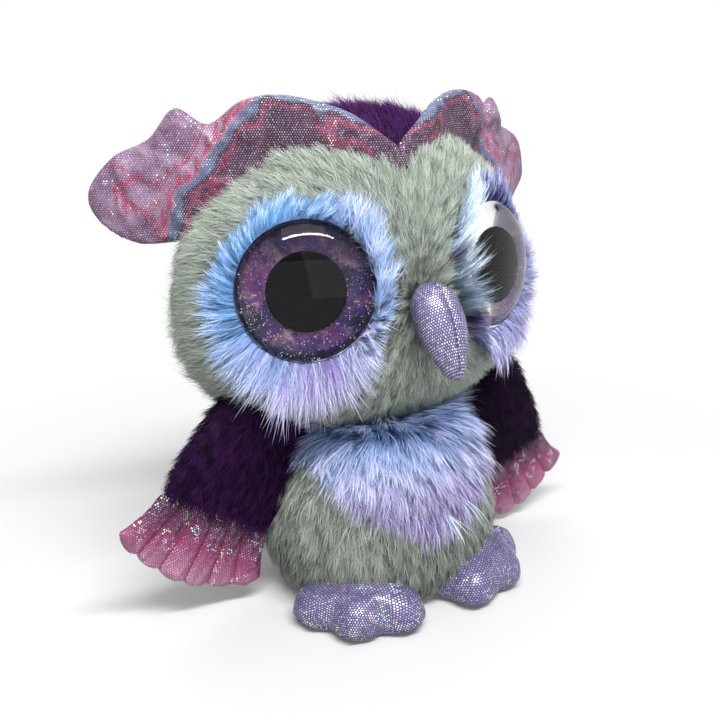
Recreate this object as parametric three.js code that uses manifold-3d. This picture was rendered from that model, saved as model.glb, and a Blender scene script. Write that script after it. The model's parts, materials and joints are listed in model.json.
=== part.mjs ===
// Plush owl with a big domed-eye head, padded foil ears, wings and feet.
// Millimetres, +Z up. The origin is the middle of the flat base, the owl looks along -Y,
// and its right side is -X.
import * as THREE from 'three';
import { mergeVertices } from 'three/addons/utils/BufferGeometryUtils.js';
import Module from 'manifold-3d';

const wasm = await Module();
wasm.setup();

// Fabric and fit
const gap = 0.3; // clearance between touching pieces
const pile = 6; // plush pile, lying
const backing = 1.2; // knitted cloth under the pile
const foil = 0.9; // foil-printed cloth
const plush = pile + backing;

// Body: a pear that stands on a flat base panel
const bodyHalfWidth = 58.5;
const bodyHalfDepth = 51;
const bellyHeight = 34; // where the pear is widest
const neckHeight = 80;
const neckHalfWidth = 41;
const neckSetBack = 9; // the neck stands this far behind the middle of the base
const baseHalfWidth = 43;
const basePanelThickness = 1.6;
const pouchRadius = 33; // pellet pouch inside the base
const pouchHeight = 20;

// Chest patch of long pile
const chestInFromSides = 11;
const chestAboveNeck = 6; // runs up under the chin
const chestTipHeight = 36;
const chestProud = 1.5;

// Head: a broad ovoid, cut flat at the neck
const headHalfWidth = 89;
const headHalfDepth = 59;
const headBehindNeck = 13; // the head's middle, behind the neck's middle
const cheekRise = 52; // widest height above the neck
const crownRise = 86; // top above the widest height
const chinDrop = 59; // where the ovoid would close, below the widest height
const cheekFullness = 2.35; // 2 is an ellipse, more is fuller
const crownFullness = 1.95;
const neckOpeningRadius = 22;
const headTurnRange = 20; // degrees to each side

// Ear seam, where the face skin meets the hood
const seamForward = 36; // the seam's top, forward of the head's middle
const seamSweep = 28.5; // degrees that the seam runs back on each side

// Eyes: a clear dome over a printed disc and a pupil disc, on a plastic post
const eyeRadius = 28.5;
const eyeSide = 44.5;
const eyeAboveCheeks = 15;
const eyeSink = 24; // the eye's seat, in from the front of the head
const eyeYaw = 22; // degrees outward
const eyePitch = 7; // degrees upward
const lensHeight = 13;
const lensRim = 2.4;
const irisThickness = 0.6;
const irisMargin = 1; // bare rim round the printed disc
const pupilRadius = 16.4;
const pupilThickness = 0.5;
const eyeBaseThickness = 1.8;
const postRadius = 3;
const postLength = 16;
const washerRadius = 10;
const washerThickness = 1.6;
const eyePatchWidth = 9.5; // ring of long pile round the eye
const eyePatchProud = 1.5;

// Beak: a padded teardrop hung between the eyes
const beakLength = 38;
const beakHalfWidth = 11;
const beakHalfDepth = 8.5;
const beakAboveCheeks = 14;
const beakRootIn = 1; // the beak's root, in from the front of the head
const beakTilt = 42; // degrees that the tip leans forward
const beakHook = 5;

// Ears: flat padded horns that stand on the ear seam
const earSpan = 128; // from the head's middle to the outer edge
const earAboveCrown = 4;
const earHeight = 59; // from the lowest point of the outer lobe to the top
const earWadding = 2;
const earHem = 3; // the wadding stops this far inside the edge
const earRange = 20; // degrees forward and back
const earHingeOut = 58; // the fold line's middle, out from the head's middle
const earHingeSlope = 32; // degrees that the fold line falls outward

// Wings: a plush sleeve with a padded feather panel sewn into its cuff
const shoulderIn = { right: 6, left: 3 }; // in from the body's widest
const shoulderAboveNeck = { right: 14, left: 8 };
const shoulderBack = 3;
const wingLean = { right: 33, left: 21 }; // degrees out from hanging straight down
const sleeveLength = 53;
const sleeveHalfWidth = 30;
const sleeveTopHalfWidth = 23;
const sleeveCap = 10; // how far the sleeve's round top rises above the shoulder
const sleeveHalfThickness = 13;
const cuffHalfThickness = 7.5;
const cuffHalfWidth = 27.5;
const sleevePlush = 4.5;
const featherTuck = 5; // how far the feather panel goes into the cuff
const featherLength = 35.5; // from the cuff to the longest tip
const featherHalfWidth = 36.5;
const featherRootIn = 1.5; // the panel's root, in from the sides of the sleeve's hollow
const rootCorner = 1; // how much the root's corners are cut back
const featherTips = 6;
const tipDepth = 1.8; // of the scallops between the tips
const tipBow = 10; // how much longer the middle tips are than the outermost
const featherWadding = 1.6;
const featherHem = 2.5;
const wingForward = 25; // degrees that the wing flaps forward and back about its root
const wingBackward = 15;
const wingRootIn = 19; // the wing's root line, in from the middle of the sleeve

// Feet: padded, with three toes, hinged where they meet the body
const footSide = 29;
const footForward = 31;
const footSplay = 36; // degrees outward
const footRadius = 21.5;
const footSpread = 0.25; // how much wider than long, as a share
const toeReach = 5;
const footHeight = 19;
const soleThickness = 1.2;
const soleLift = 0.4; // the soles hang just clear of the ground
const footRange = 14; // degrees up
const footHingeForward = 9; // where the foot's top meets the body, forward of the foot's middle
const footHingeRise = 17;

// How finely round forms are faceted
const coarse = 12;
const medium = 20;
const fine = 28;
const bodyRings = 8;
const hollowRings = 12;
const headRings = 18;
const domeRings = 5;
const outlineSteps = 56;
const waddingSteps = 40;

// Profiles and outlines, as shares of the sizes above
const beakProfile = [ // half-width and distance down, from tip to root
  [0, 1], [0.2, 0.95], [0.52, 0.75], [0.86, 0.5], [1, 0.26], [0.86, 0.07], [0.5, -0.04], [0, -0.08],
];
const earOutline = [ // out along the span, and up from the lobe
  [0, 0.42], [-0.016, 0.59], [0.1, 0.8], [0.2, 0.915], [0.367, 1], [0.5, 0.965],
  [0.61, 0.81], [0.71, 0.915], [0.8, 0.71], [0.915, 0.59], [1, 0.355], [0.977, 0.15],
  [0.86, 0], [0.735, 0], [0.61, 0.05], [0.485, 0.12], [0.235, 0.29],
];
const chestOutline = [ // out from the middle, and up from the tip
  [0, 0], [0.45, 0.16], [0.85, 0.5], [1, 0.9], [0.7, 1],
  [-0.7, 1], [-1, 0.9], [-0.85, 0.5], [-0.45, 0.16],
];
const footProfile = [[0.97, 0.5], [0.78, 0.8], [0.42, 0.96]]; // radius and height of the foot's top
const sleeveProfile = [[1, 0.82], [0.96, 0.55]]; // half-width and drop of the sleeve's lower part
const featherSide = [[0.77, 0.04], [0.82, 0.22], [0.89, 0.42], [1, 0.62]]; // half-width and drop, from the cuff

const sides = [['right', -1], ['left', 1]];
const far = 300; // beyond the whole toy

// Colours
const grey = { color: 0x868a85, roughness: 0.95, metalness: 0 };
const purple = { color: 0x2a0f3c, roughness: 0.95, metalness: 0 };
const longPile = { color: 0x9fa6e0, roughness: 0.9, metalness: 0 };
const lilacFoil = { color: 0x8a7fc0, roughness: 0.4, metalness: 0.5 };
const pinkFoil = { color: 0xc07aa8, roughness: 0.4, metalness: 0.5 };
const printFoil = { color: 0xb088b4, roughness: 0.4, metalness: 0.5 };
const lining = { color: 0xe8d6de, roughness: 0.8, metalness: 0 };
const fibre = { color: 0xf2f0ea, roughness: 1, metalness: 0 };
const clear = { color: 0xf4f4f8, roughness: 0.03, metalness: 0 };
const iris = { color: 0x4a3566, roughness: 0.5, metalness: 0 };
const black = { color: 0x08080a, roughness: 0.4, metalness: 0 };
const nylon = { color: 0xdedcd4, roughness: 0.5, metalness: 0 };

// Solids

const degrees = THREE.MathUtils.degToRad;
const point = (x, y, z) => new THREE.Vector3(x, y, z);

// A closed solid from a geometry, with its shared vertices merged
function solid(geometry) {
  const bare = geometry.index ? geometry.toNonIndexed() : geometry.clone();
  bare.deleteAttribute('normal');
  bare.deleteAttribute('uv');
  const merged = mergeVertices(bare, 1e-4);
  return new wasm.Manifold(new wasm.Mesh({
    numProp: 3,
    vertProperties: new Float32Array(merged.attributes.position.array),
    triVerts: new Uint32Array(merged.index.array),
  }));
}

// A named mesh of a solid, in its finish
function piece(name, body, finish) {
  const { vertProperties, triVerts } = body.getMesh();
  const geometry = new THREE.BufferGeometry();
  geometry.setAttribute('position', new THREE.BufferAttribute(new Float32Array(vertProperties), 3));
  geometry.setIndex(new THREE.BufferAttribute(new Uint32Array(triVerts), 1));
  geometry.computeVertexNormals();
  const mesh = new THREE.Mesh(geometry, new THREE.MeshStandardMaterial(finish));
  mesh.name = name;
  return mesh;
}

const moved = (body, matrix) => body.transform(matrix.elements);

// The matrix of a turn about a line through a point
function turnAbout(centre, axis, angle) {
  const turn = new THREE.Matrix4().makeRotationAxis(axis.clone().normalize(), degrees(angle));
  const there = new THREE.Matrix4().makeTranslation(centre.x, centre.y, centre.z);
  const back = new THREE.Matrix4().makeTranslation(-centre.x, -centre.y, -centre.z);
  return there.multiply(turn).multiply(back);
}

// A solid joined with copies of itself, turned about a line: the room that a swinging part leaves it
function swung(body, centre, axis, angles) {
  return angles.reduce((joined, angle) => joined.add(moved(body, turnAbout(centre, axis, angle))), body);
}

// A block between two corners
function block(low, high) {
  const size = point(0, 0, 0).subVectors(high, low);
  const middle = point(0, 0, 0).addVectors(high, low).multiplyScalar(0.5);
  const geometry = new THREE.BoxGeometry(size.x, size.y, size.z);
  return solid(geometry.translate(middle.x, middle.y, middle.z));
}

const below = (height) => block(point(-far, -far, -far), point(far, far, height));
const above = (height) => block(point(-far, -far, height), point(far, far, far));
const ahead = (depth) => block(point(-far, -far, -far), point(far, depth, far));
const behind = (depth) => block(point(-far, depth, -far), point(far, far, far));

// A round bar along +Z between two heights
function bar(radius, low, high, around = medium) {
  const geometry = new THREE.CylinderGeometry(radius, radius, high - low, around);
  return solid(geometry.rotateX(Math.PI / 2).translate(0, 0, (low + high) / 2));
}

// A turned form along +Z. The profile is a list of [radius, height] from bottom to top.
function turned(profile, around) {
  const points = profile.map(([radius, height]) => new THREE.Vector2(radius, height));
  return new THREE.LatheGeometry(points, around).rotateX(Math.PI / 2);
}

// Each vertex of a geometry put through a rule that returns its new place
function reshaped(geometry, rule) {
  const place = geometry.attributes.position;
  for (let i = 0; i < place.count; i += 1) {
    const [x, y, z] = rule(place.getX(i), place.getY(i), place.getZ(i));
    place.setXYZ(i, x, y, z);
  }
  return solid(geometry);
}

// A closed outline drawn in by a distance, point by point. Clockwise or not, inward is inward.
function drawnIn(outline, distance) {
  const count = outline.length;
  const points = outline.map(([x, z]) => new THREE.Vector2(x, z));
  const turn = Math.sign(THREE.ShapeUtils.area(points));
  return points.map((here, i) => {
    const along = points[(i + 1) % count].clone().sub(points[(i + count - 1) % count]).normalize();
    return [here.x - turn * along.y * distance, here.y + turn * along.x * distance];
  });
}

// A sheet in the XZ plane, from a smooth closed outline, between two depths along Y
function sheet(outline, low, high, steps) {
  const curve = new THREE.CatmullRomCurve3(outline.map(([x, z]) => point(x, z, 0)), true);
  const points = curve.getPoints(steps).slice(0, steps).map((p) => new THREE.Vector2(p.x, p.y));
  const depth = high - low;
  const geometry = new THREE.ExtrudeGeometry(new THREE.Shape(points), { depth, bevelEnabled: false });
  return solid(geometry.rotateX(Math.PI / 2).translate(0, high, 0));
}

const model = new THREE.Group();

// Body

const bodyTop = neckHeight - gap / 2;
const bodyBottom = basePanelThickness + gap;

// The pear's half-width against height, as a smooth curve through base, belly and neck
const belly = 2.5; // how much the pear narrows just below its widest
const shoulder = point((bodyHalfWidth + neckHalfWidth) / 2 + 3, (bellyHeight + neckHeight) / 2 + 4, 0);
const pear = new THREE.SplineCurve([
  [baseHalfWidth, 0], [bodyHalfWidth - belly, bellyHeight * 0.4], [bodyHalfWidth, bellyHeight],
  [shoulder.x, shoulder.y], [neckHalfWidth, neckHeight],
].map(([radius, height]) => new THREE.Vector2(radius, height)));

// The body's form, smaller all round by inset, leaning back as it rises
function bodyForm(inset, rings, around, low = 0, high = bodyTop) {
  const rows = pear.getSpacedPoints(rings)
    .map((p) => [p.x - inset, THREE.MathUtils.lerp(low, high, p.y / neckHeight)]);
  const flatten = (bodyHalfDepth - inset) / (bodyHalfWidth - inset);
  const lean = (z) => neckSetBack * (z / neckHeight) ** 2;
  return reshaped(turned([[0, low], ...rows, [0, high]], around), (x, y, z) => [x, y * flatten + lean(z), z]);
}

const bodyHollow = bodyForm(plush, hollowRings, medium, -1, bodyTop + 1);
const bodyShell = bodyForm(0, bodyRings, fine).subtract(bodyHollow).subtract(below(bodyBottom));

// The chest patch's stencil, seen from the front, grown by a margin
function chestStencil(margin) {
  const half = bodyHalfWidth - chestInFromSides + margin;
  const low = chestTipHeight - margin;
  const high = neckHeight + chestAboveNeck + margin;
  const outline = chestOutline.map(([x, z]) => [x * half, THREE.MathUtils.lerp(low, high, z)]);
  return sheet(outline, -far, margin - gap, medium);
}

// The pouch of pellets lies on the base panel, with the fibre filling round and over it
function pouchForm(grow) {
  const sunk = pouchHeight * 0.35;
  const geometry = new THREE.SphereGeometry(1, medium, hollowRings).rotateX(Math.PI / 2)
    .scale(pouchRadius + grow, pouchRadius + grow, pouchHeight - sunk + grow)
    .translate(0, 0, bodyBottom + sunk);
  return solid(geometry).intersect(above(bodyBottom - grow));
}

const chest = bodyForm(-chestProud, bodyRings, fine).subtract(bodyHollow).intersect(chestStencil(0));
const bodyFront = bodyShell.intersect(ahead(neckSetBack - gap / 2)).subtract(chestStencil(gap));
const bodyStuffing = bodyForm(plush + gap, bodyRings, medium)
  .subtract(below(bodyBottom))
  .subtract(pouchForm(gap));

model.add(piece('body_front_skin', bodyFront, grey));
model.add(piece('body_back_skin', bodyShell.intersect(behind(neckSetBack + gap / 2)), grey));
model.add(piece('base_panel', bodyForm(gap, bodyRings, fine).subtract(above(basePanelThickness)), grey));
model.add(piece('chest_patch', chest, longPile));
model.add(piece('body_stuffing', bodyStuffing, fibre));
model.add(piece('pellet_pouch', pouchForm(0), nylon));

// Head

const head = new THREE.Group();
model.add(head);

const neck = point(0, neckSetBack, 0);
const upright = point(0, 0, 1);
const headBottom = neckHeight + gap / 2;
const headBack = neckSetBack + headBehindNeck;
const cheekHeight = neckHeight + cheekRise;
const headMiddle = new THREE.Matrix4().makeTranslation(0, headBack, cheekHeight);

// The head's ovoid, larger all round by grow: full cheeks below, a tapering crown above
function headForm(grow, around, up) {
  const rows = [];
  for (let step = 0; step <= up; step += 1) {
    const angle = Math.PI * (step / up - 0.5);
    const [fullness, reach] = angle < 0 ? [cheekFullness, chinDrop] : [crownFullness, crownRise];
    const isPole = step === 0 || step === up;
    const height = Math.sign(angle) * Math.abs(Math.sin(angle)) ** (2 / fullness);
    rows.push([isPole ? 0 : Math.cos(angle) ** (2 / fullness), (reach + grow) * height]);
  }
  return moved(solid(turned(rows, around).scale(headHalfWidth + grow, headHalfDepth + grow, 1)), headMiddle);
}

const clearOfHead = headForm(gap, fine, headRings);
const headHollow = headForm(-plush, medium, hollowRings);
const neckOpening = moved(bar(neckOpeningRadius, -far, 0), headMiddle);

// The wedge in front of the ear seam, whose two faces sweep back from the head's middle
function faceWedge(shift) {
  const tip = headBack - seamForward + shift;
  const run = far * Math.tan(degrees(seamSweep));
  const outline = [[-far, tip + run], [-far, -far], [far, -far], [far, tip + run], [0, tip]];
  const shape = new THREE.Shape(outline.map(([x, y]) => new THREE.Vector2(x, y)));
  return solid(new THREE.ExtrudeGeometry(shape, { depth: far, bevelEnabled: false }));
}

// Eyes: each stands on its own axis, with +Z out of the head and its seat at height 0

const eyePatchRadius = eyeRadius + eyePatchWidth;
const seatDepth = eyeBaseThickness + gap;
const floorDepth = seatDepth + backing;
const irisTop = gap + irisThickness;
const pupilTop = irisTop + gap + pupilThickness;
const lensBack = pupilTop + gap;
const reach = eyePatchRadius * 2; // longer than the skin is deep there
const eyePocket = (grow, depth) => bar(eyeRadius + gap + grow, -depth, reach);
const eyeColumn = (grow) => bar(eyePatchRadius + grow, -eyePatchRadius, reach, fine);

function eyeMatrix(side) {
  const seat = new THREE.Matrix4()
    .makeTranslation(side * eyeSide, headBack - headHalfDepth + eyeSink, cheekHeight + eyeAboveCheeks);
  const outward = new THREE.Matrix4().makeRotationZ(degrees(side * eyeYaw));
  const level = new THREE.Matrix4().makeRotationX(degrees(90 - eyePitch));
  return seat.multiply(outward).multiply(level);
}

// The dish of fabric that slopes from the rim of the lens out to the edge of the patch
function eyeDish() {
  const rim = lensBack - gap + lensRim;
  const slope = eyeRadius + eyePatchWidth * 0.6;
  return solid(turned([
    [0, rim], [eyeRadius + gap, rim], [slope, rim + eyePatchWidth], [eyePatchRadius, reach], [0, reach],
  ], medium));
}

// The lens: flat at the back, a short straight rim, then a dome
function eyeLens() {
  const rows = [[0, lensBack], [eyeRadius, lensBack]];
  for (let step = 0; step <= domeRings; step += 1) {
    const angle = (Math.PI / 2) * (step / domeRings);
    const radius = step === domeRings ? 0 : eyeRadius * Math.cos(angle);
    rows.push([radius, lensBack + lensRim + (lensHeight - lensRim) * Math.sin(angle)]);
  }
  return solid(turned(rows, medium));
}

// The back of the eye, with the post that goes through the skin and its locking washer
function eyePost() {
  return bar(eyeRadius, -eyeBaseThickness, 0).add(bar(postRadius, -postLength, -eyeBaseThickness / 2, coarse));
}

function eyeWasher() {
  const top = -floorDepth - gap;
  return bar(washerRadius, top - washerThickness, top).subtract(bar(postRadius + gap, -postLength, 0, coarse));
}

let headShell = headForm(0, fine, headRings).intersect(above(headBottom));
let headCavity = headHollow;
let headStuffing = headForm(-plush - gap, medium, hollowRings).intersect(above(headBottom));
for (const [, side] of sides) {
  const eye = eyeMatrix(side);
  const washerRoom = bar(washerRadius + gap, -floorDepth - washerThickness - 2 * gap, 0);
  headShell = headShell.subtract(moved(eyeColumn(gap), eye));
  headCavity = headCavity.subtract(moved(eyePocket(backing, floorDepth), eye));
  headStuffing = headStuffing
    .subtract(moved(eyePocket(backing + gap, floorDepth + gap), eye))
    .subtract(moved(bar(postRadius + gap, -postLength - gap, 0, coarse), eye))
    .subtract(moved(washerRoom, eye));
}
headShell = headShell.subtract(headHollow).subtract(neckOpening);

for (const [name, side] of sides) {
  const matrix = eyeMatrix(side);
  const patch = headForm(eyePatchProud, fine, headRings).intersect(moved(eyeColumn(0), matrix))
    .subtract(moved(eyePocket(0, seatDepth), matrix))
    .subtract(moved(eyeDish(), matrix))
    .subtract(headCavity)
    .subtract(moved(bar(postRadius + gap, -far, 0, coarse), matrix));
  head.add(piece(`${name}_eye_patch`, patch, longPile));

  const eye = new THREE.Group();
  matrix.decompose(eye.position, eye.quaternion, eye.scale);
  head.add(eye);
  eye.add(piece(`${name}_eye_post`, eyePost(), black));
  eye.add(piece(`${name}_eye_washer`, eyeWasher(), nylon));
  eye.add(piece(`${name}_iris_disc`, bar(eyeRadius - irisMargin, gap, irisTop), iris));
  eye.add(piece(`${name}_pupil_disc`, bar(pupilRadius, irisTop + gap, pupilTop), black));
  eye.add(piece(`${name}_eye_lens`, eyeLens(), clear));
}

// Beak: hangs from its root, with its tip forward and hooked

function beakForm(inset) {
  const rows = beakProfile.map(([radius, down]) => [radius, -down * (beakLength - inset)]);
  const hook = (z) => beakHook * (z / beakLength) ** 2;
  return reshaped(turned(rows, coarse), (x, y, z) => [
    x * (beakHalfWidth - inset), y * (beakHalfDepth - inset) + hook(z), z,
  ]);
}

const beakRoot = point(0, headBack - headHalfDepth + beakRootIn, cheekHeight + beakAboveCheeks);
const beakMatrix = new THREE.Matrix4().makeTranslation(beakRoot)
  .multiply(new THREE.Matrix4().makeRotationX(degrees(-beakTilt)));
const beak = (inset) => moved(beakForm(inset), beakMatrix);

head.add(piece('face_skin', headShell.intersect(faceWedge(-gap / 2)), grey));
head.add(piece('hood_skin', headShell.subtract(faceWedge(gap / 2)), purple));
head.add(piece('head_stuffing', headStuffing, fibre));
head.add(piece('beak_skin', beak(0).subtract(clearOfHead).subtract(beak(foil)), lilacFoil));
head.add(piece('beak_stuffing', beak(foil + gap).subtract(clearOfHead), fibre));

// Ears: a printed front and a lining with wadding between them

const crownHeight = cheekHeight + crownRise;
const earTop = crownHeight + earAboveCrown;
const earPlace = earOutline.map(([out, up]) => [out * earSpan, earTop - earHeight + up * earHeight]);

// The fold line lies along the ear seam, level with the head's surface there
function foldPoint() {
  const x = earHingeOut * Math.cos(degrees(seamSweep));
  const y = earHingeOut * Math.sin(degrees(seamSweep)) - seamForward;
  const out = Math.hypot(x / headHalfWidth, y / headHalfDepth);
  return point(earHingeOut, 0, cheekHeight + crownRise * (1 - out ** crownFullness) ** (1 / crownFullness));
}

const foldAxis = point(Math.cos(degrees(earHingeSlope)), 0, -Math.sin(degrees(earHingeSlope)));

for (const [name, side] of sides) {
  const ear = new THREE.Group();
  ear.position.set(0, headBack - seamForward, 0);
  ear.rotation.z = degrees(side < 0 ? 180 - seamSweep : seamSweep);
  ear.updateMatrix();
  head.add(ear);

  const headSeen = moved(clearOfHead, ear.matrix.clone().invert());
  const room = swung(headSeen, foldPoint(), foldAxis, [-earRange, -earRange / 2, earRange / 2, earRange]);
  const half = earWadding / 2;
  const inner = half + gap;
  const outer = inner + foil;
  // The ear's own Y looks forward on the right side and backward on the left
  const [front, back] = side < 0 ? [[inner, outer], [-outer, -inner]] : [[-outer, -inner], [inner, outer]];
  ear.add(piece(`${name}_ear_front`, sheet(earPlace, ...front, outlineSteps).subtract(room), printFoil));
  ear.add(piece(`${name}_ear_back`, sheet(earPlace, ...back, outlineSteps).subtract(room), lining));
  const wadding = sheet(drawnIn(earPlace, earHem), -half, half, waddingSteps);
  ear.add(piece(`${name}_ear_wadding`, wadding.subtract(room), fibre));
}

// Wings

const cuffHeight = -sleeveLength;
const cuffSeam = cuffHeight + featherTuck;
const panelHalf = featherWadding / 2 + gap + foil; // half the feather panel's thickness

// The sleeve hangs from the shoulder and flattens towards its cuff
function sleeveForm(inset, bottom) {
  const middle = (sleeveHalfWidth + sleeveTopHalfWidth) / 2;
  const lower = sleeveProfile.map(([radius, drop]) => [radius * sleeveHalfWidth, cuffHeight * drop]);
  const rows = [
    [cuffHalfWidth, bottom], ...lower, [middle, cuffHeight * 0.22],
    [sleeveTopHalfWidth, -sleeveCap * 0.1], [sleeveTopHalfWidth * 0.62, sleeveCap * 0.7],
  ].map(([radius, height]) => [radius - inset, height]);
  return reshaped(turned([[0, bottom], ...rows, [0, sleeveCap - inset]], medium), (x, y, z) => {
    const toCuff = THREE.MathUtils.smoothstep(-z, sleeveLength * 0.4, sleeveLength);
    const half = THREE.MathUtils.lerp(sleeveHalfThickness, cuffHalfThickness, toCuff) - inset;
    return [x, y * half / (sleeveHalfWidth - inset), z];
  });
}

// The feather panel: a tucked root, then a fan whose end is scalloped into tips
function featherOutline() {
  const root = cuffHalfWidth - sleevePlush - featherRootIn;
  const longest = cuffHeight - featherLength;
  const side = featherSide.map(([out, drop]) => [out * featherHalfWidth, cuffHeight - drop * featherLength]);
  const corner = [[root - rootCorner, cuffSeam - rootCorner], [root, cuffHeight]];
  const innerSide = [[0, cuffSeam], [root / 2, cuffSeam], ...corner, ...side];
  const outerSide = innerSide.slice(1).reverse().map(([x, z]) => [-x, z]);
  // The tips lie on a bow that is longest in the middle, with a dip between each two
  const scallops = [];
  const count = featherTips * 2 - 1;
  for (let i = 0; i < count; i += 1) {
    const across = 1 - (2 * i + 1) / count;
    const bow = tipBow * across ** 2;
    scallops.push([across * featherHalfWidth, longest + bow + (i % 2 ? tipDepth : 0)]);
  }
  return [...innerSide, ...scallops, ...outerSide];
}

const panel = (margin, depth, steps) => sheet(drawnIn(featherOutline(), margin), -depth, depth, steps);

for (const [name, side] of sides) {
  const wing = new THREE.Group();
  wing.position.set(side * (bodyHalfWidth - shoulderIn[name]), shoulderBack, neckHeight + shoulderAboveNeck[name]);
  wing.rotation.set(0, -degrees(wingLean[name]), degrees(side < 0 ? 180 : 0), 'ZYX');
  wing.updateMatrix();
  model.add(wing);

  // What the wing stays clear of, as it swings and as the head turns
  const toWing = wing.matrix.clone().invert();
  const chestSeen = bodyForm(-gap - chestProud, bodyRings, fine).intersect(chestStencil(gap));
  const bodySeen = bodyForm(-gap, bodyRings, fine).add(chestSeen);
  const headSeen = swung(clearOfHead, neck, upright, [-headTurnRange, headTurnRange]);
  const neighbours = moved(bodySeen.add(headSeen), toWing);
  const flaps = [-wingBackward, -wingBackward / 2, wingForward / 2, wingForward].map((flap) => side * flap);
  const room = swung(neighbours, point(-wingRootIn, 0, 0), upright, flaps);

  const sleeve = sleeveForm(0, cuffHeight).subtract(sleeveForm(sleevePlush, cuffHeight - 1))
    .subtract(panel(-gap, panelHalf + gap, outlineSteps));
  const packing = sleeveForm(sleevePlush + gap, cuffHeight).subtract(below(cuffSeam + gap));
  wing.add(piece(`${name}_wing_sleeve`, sleeve.subtract(room), purple));
  wing.add(piece(`${name}_wing_stuffing`, packing.subtract(room), fibre));

  // The wing's own Y looks forward on the right side and backward on the left
  const cloth = panel(0, panelHalf, outlineSteps).subtract(room);
  const [front, back] = side < 0 ? [behind, ahead] : [ahead, behind];
  const toFace = panelHalf - foil;
  const faceOf = (half) => cloth.intersect(half === behind ? behind(toFace) : ahead(-toFace));
  wing.add(piece(`${name}_feather_front`, faceOf(front), pinkFoil));
  wing.add(piece(`${name}_feather_back`, faceOf(back), pinkFoil));
  const wadding = panel(featherHem, featherWadding / 2, waddingSteps);
  wing.add(piece(`${name}_feather_wadding`, wadding.subtract(room), fibre));
}

// Feet

function footForm(inset, low) {
  const top = footHeight - inset;
  const dome = footProfile.map(([radius, height]) => [radius, top * height]);
  const rows = [[0, low], [0.9, low], [1, low + 4], ...dome, [0, top]];
  return reshaped(turned(rows, medium), (x, y, z) => {
    const angle = Math.atan2(x, -y);
    const toes = Math.abs(angle) < Math.PI / 2 ? Math.max(0, Math.cos(6 * angle)) : 0;
    const round = footRadius * (1 + footSpread * Math.sin(angle) ** 2) + toeReach * toes - inset;
    return [x * round, y * round, z];
  });
}

for (const [name, side] of sides) {
  const foot = new THREE.Group();
  foot.position.set(side * footSide, -footForward, soleLift);
  foot.rotation.z = degrees(side * footSplay);
  foot.updateMatrix();
  model.add(foot);

  const bodySeen = moved(bodyForm(-gap, bodyRings, fine, -1), foot.matrix.clone().invert());
  const hinge = point(0, -footHingeForward, footHingeRise);
  const room = swung(bodySeen, hinge, point(1, 0, 0), [footRange / 2, footRange]);
  const low = soleThickness + gap;
  const upper = footForm(0, low).subtract(footForm(foil, low - 1));
  foot.add(piece(`${name}_foot_upper`, upper.subtract(room), lilacFoil));
  foot.add(piece(`${name}_foot_stuffing`, footForm(foil + gap, low).subtract(room), fibre));
  foot.add(piece(`${name}_foot_sole`, footForm(0, 0).subtract(above(soleThickness)).subtract(room), lilacFoil));
}

export default model;
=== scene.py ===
"""A plush owl with domed eyes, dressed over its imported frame.

The classes hold their sizes in millimetres, in the frame's own axes: +Z up, the owl looks along
-Y and its right side is -X. Meshes are turned into metres as they are made.
"""

import json
import logging
import math
from collections.abc import Callable, Mapping, Sequence
from dataclasses import dataclass, field
from enum import Enum
from functools import cached_property

import bpy
import numpy as np
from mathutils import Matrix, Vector
from mathutils.geometry import delaunay_2d_cdt

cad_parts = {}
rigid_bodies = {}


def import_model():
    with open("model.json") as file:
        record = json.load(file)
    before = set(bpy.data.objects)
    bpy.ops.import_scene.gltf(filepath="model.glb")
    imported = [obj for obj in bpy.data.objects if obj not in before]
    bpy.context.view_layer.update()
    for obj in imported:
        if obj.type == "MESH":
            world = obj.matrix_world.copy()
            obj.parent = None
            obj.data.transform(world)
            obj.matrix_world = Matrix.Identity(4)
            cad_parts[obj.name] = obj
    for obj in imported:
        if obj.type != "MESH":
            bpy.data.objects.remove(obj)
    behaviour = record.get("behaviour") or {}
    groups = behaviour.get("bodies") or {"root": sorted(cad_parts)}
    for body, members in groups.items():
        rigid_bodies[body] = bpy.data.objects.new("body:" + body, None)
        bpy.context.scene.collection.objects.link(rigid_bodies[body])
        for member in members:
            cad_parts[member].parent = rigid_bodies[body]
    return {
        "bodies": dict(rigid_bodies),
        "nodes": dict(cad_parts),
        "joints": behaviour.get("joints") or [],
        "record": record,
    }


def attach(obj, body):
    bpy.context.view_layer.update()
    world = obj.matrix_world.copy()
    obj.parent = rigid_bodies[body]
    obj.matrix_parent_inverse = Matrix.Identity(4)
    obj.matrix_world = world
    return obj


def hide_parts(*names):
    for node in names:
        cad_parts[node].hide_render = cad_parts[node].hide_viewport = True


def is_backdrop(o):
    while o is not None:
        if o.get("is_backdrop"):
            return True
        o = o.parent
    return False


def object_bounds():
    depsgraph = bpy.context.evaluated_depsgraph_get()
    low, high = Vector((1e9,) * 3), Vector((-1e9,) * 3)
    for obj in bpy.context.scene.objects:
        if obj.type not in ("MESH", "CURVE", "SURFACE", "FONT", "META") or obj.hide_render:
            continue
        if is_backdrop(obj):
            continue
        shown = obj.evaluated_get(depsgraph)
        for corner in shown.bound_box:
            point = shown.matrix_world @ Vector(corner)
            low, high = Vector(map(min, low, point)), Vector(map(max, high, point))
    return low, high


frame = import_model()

Array = np.ndarray
Colour = tuple[float, float, float]
Stops = tuple[tuple[float, Colour], ...]
Rule = Callable[[Array], Array]
Stand = Callable[[Array, Array], Array]
Pair = tuple[float, float]
Pairs = tuple[Pair, ...]
Point = tuple[float, float, float]
Material = bpy.types.Material
Object = bpy.types.Object

LOG = logging.getLogger("owl")
MM = 0.001
PILE_UV = "OFBake"
CLOTH_UV = "cloth"
DEPTH_UV = "depth"
NO_TRIANGLES = np.zeros((0, 3), int)
NO_QUADS = np.zeros((0, 4), int)


class Side(Enum):
    """The owl's own right and left."""

    RIGHT = -1
    LEFT = 1

    @property
    def word(self) -> str:
        """The side's name, as the frame's nodes and bodies use it."""
        return self.name.lower()


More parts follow.
